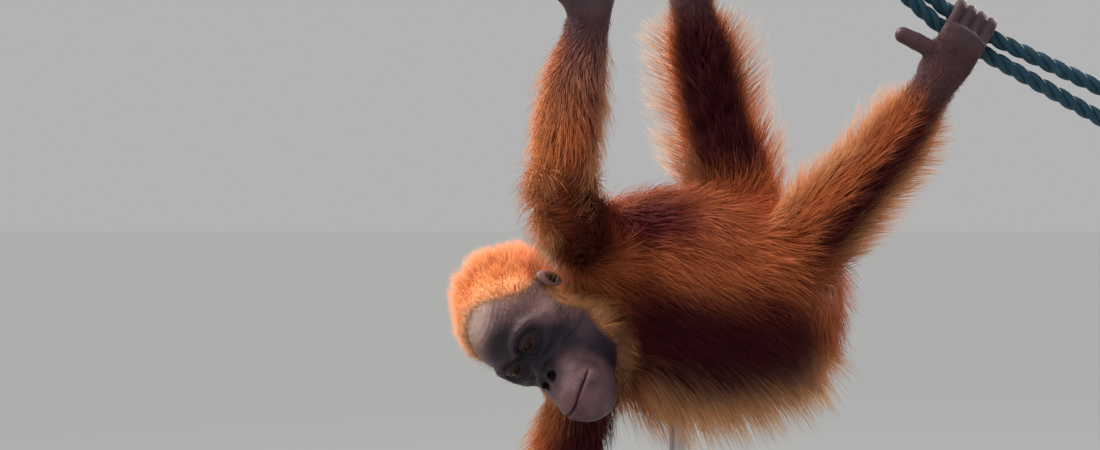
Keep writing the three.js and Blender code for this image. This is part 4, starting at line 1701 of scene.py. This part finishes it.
def makeRope(name, points, tree, material):
    curve = bpy.data.curves.new(name, "CURVE")
    curve.dimensions = "3D"
    spline = curve.splines.new("POLY")
    spline.points.add(len(points) - 1)
    withWeights = np.hstack([points, np.ones((len(points), 1))])
    spline.points.foreach_set("co", withWeights.astype(np.float32).ravel())
    carrier = bpy.data.objects.new(name + ".line", curve)
    bpy.context.scene.collection.objects.link(carrier)
    modifier = carrier.modifiers.new("laidRope", "NODES")
    modifier.node_group = tree
    setInput(modifier, "Radius", ropeSetup["radius"])
    setInput(modifier, "Turn Length", ropeSetup["turnLength"])
    setInput(modifier, "Step", ropeSetup["step"])
    setInput(modifier, "Strand Share", ropeSetup["strandShare"])
    setInput(modifier, "Material", material)
    mesh = evaluated(carrier)
    bpy.data.objects.remove(carrier)
    mesh.name = name
    rope = addPiece(name, mesh, material)
    rope.data.materials.clear()
    rope.data.materials.append(material)
    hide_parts("perch_" + name)


def makeRopes():
    tree = ropeTree()
    material = ropeMaterial()
    for name, end, (out, along) in (("rope_hand", hands["left"], ropeInGrip["leftHand"]),
                                    ("rope_left_foot", feet["left"], ropeInGrip["leftFoot"])):
        line = np.linspace(end.at(-80, out, along), end.at(80, out, along), 40)
        makeRope(name, line, tree, material)
    grip = feet["right"].at(0, 26.5, 77)
    middle = [grip + np.array(shift) * mm
              for shift in ((-96, 6, 84), (-30, 0, 22), (0, 0, 0), (30, 0, -16), (186, 0, -96))]
    apart = [19, 19, 19, 20, 33]
    above = np.array([0.45, 0, 0.89])
    for name, sign in (("rope_foot_upper", 0.5), ("rope_foot_lower", -0.5)):
        line = smoothLine([point + above * sign * gap * mm for point, gap in zip(middle, apart)], 16)
        makeRope(name, line, tree, material)


makeRopes()
print("ropes made")

# The stand keeps its shapes and takes a finish

def boardMaterial():
    finish = Finish("board", Coat_Weight=0.25, Coat_Roughness=0.3)
    where = finish.place()
    grain = finish.noise(finish.scaled(where, (3, 60, 60)), 1, 4)
    pores = finish.noise(finish.scaled(where, (40, 700, 700)), 1, 2)
    base = finish.mixed(grain, colour(0.030, 0.019, 0.013), colour(0.095, 0.058, 0.036))
    base = finish.mixed(finish.clamped((pores - 0.55) * 5) * 0.5, base, colour(0.012, 0.008, 0.006))
    return finish.feed(Base_Color=base, Roughness=0.38 + pores * 0.2,
                       Normal=finish.bump(pores, 0.0002, 0.5))


def steelMaterial():
    finish = Finish("steel", Metallic=1.0)
    where = finish.place()
    brushed = finish.noise(finish.scaled(where, (260, 260, 6)), 1, 3)
    base = finish.mixed(brushed, colour(0.42, 0.42, 0.43), colour(0.60, 0.60, 0.61))
    return finish.feed(Base_Color=base, Roughness=0.24 + brushed * 0.16,
                       Normal=finish.bump(brushed, 0.0001, 0.3))


board = boardMaterial()
steel = steelMaterial()
for name, material in (("stand_base", board), ("stand_rod", steel), ("stand_flange", steel)):
    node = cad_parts[name]
    node.data.materials.clear()
    node.data.materials.append(material)
print("stand finished")

# Floor and light

studio = {
    "floorSize": 600,
    "nearFloor": (0.36, 0.36, 0.355),
    "farFloor": (0.68, 0.68, 0.67),
    "lights": [
        # name, place, aimed at, size, watts, colour
        ("key", (-1.5, 0.6, 2.6), (-0.05, 0, 0.7), 1.2, 112, (1.0, 0.95, 0.90)),
        ("rim", (1.6, 1.6, 2.0), (0.05, 0, 0.75), 1.1, 70, (1.0, 0.94, 0.88)),
        ("fill", (-1.3, -2.3, 2.2), (-0.05, 0, 0.65), 1.3, 20, (1.0, 0.96, 0.93)),
    ],
    # brightness by height: 0.5 is the horizon, 1 is straight up
    "world": [(0.54, 0.53), (1.0, 1.0), (0.62, 0.42), (0.8, 0.62)],
    "worldStrength": 0.85,
    "view": "Standard",
}


def makeFloor():
    half = studio["floorSize"] / 2
    corners = [(-half, -half, 0), (half, -half, 0), (half, half, 0), (-half, half, 0)]
    mesh = meshFrom("floor", np.array(corners), [(0, 1, 2, 3)])
    finish = Finish("floor", Roughness=0.85)
    # A little darker under the lamps, so that it looks as pale there as further off
    away = finish.node("ShaderNodeVectorMath", {"operation": "LENGTH"}, {0: finish.place()}, output="Value")
    farShare = finish.clamped((away - 1.2) * 0.25)
    base = finish.mixed(farShare, colour(*studio["nearFloor"]), colour(*studio["farFloor"]))
    mesh.materials.append(finish.feed(Base_Color=base))
    floor = bpy.data.objects.new("floor", mesh)
    bpy.context.scene.collection.objects.link(floor)


def makeLights():
    for name, where, target, size, watts, tone in studio["lights"]:
        data = bpy.data.lights.new(name, "AREA")
        data.size = size
        data.energy = watts
        data.color = tone
        light = bpy.data.objects.new(name, data)
        light.location = where
        light.rotation_euler = (Vector(target) - Vector(where)).to_track_quat("-Z", "Y").to_euler()
        bpy.context.scene.collection.objects.link(light)
    world = bpy.data.worlds.new("studio")
    world.use_nodes = True
    bpy.context.scene.world = world
    nodes, links = world.node_tree.nodes, world.node_tree.links
    split = nodes.new("ShaderNodeSeparateXYZ")
    links.new(nodes.new("ShaderNodeTexCoord").outputs["Generated"], split.inputs[0])
    ramp = nodes.new("ShaderNodeValToRGB")
    stops = ramp.color_ramp.elements
    for i, (position, value) in enumerate(studio["world"]):
        stop = stops[i] if i < 2 else stops.new(position)
        stop.position = position
        stop.color = (value, value, value, 1)
    lifted = nodes.new("ShaderNodeMath")
    lifted.operation = "MULTIPLY_ADD"
    lifted.inputs[1].default_value = 0.5
    lifted.inputs[2].default_value = 0.5
    links.new(split.outputs["Z"], lifted.inputs[0])
    links.new(lifted.outputs[0], ramp.inputs[0])
    background = nodes["Background"]
    links.new(ramp.outputs[0], background.inputs["Color"])
    background.inputs["Strength"].default_value = studio["worldStrength"]
    bpy.context.scene.view_settings.view_transform = studio["view"]


makeFloor()
makeLights()
print("studio made")
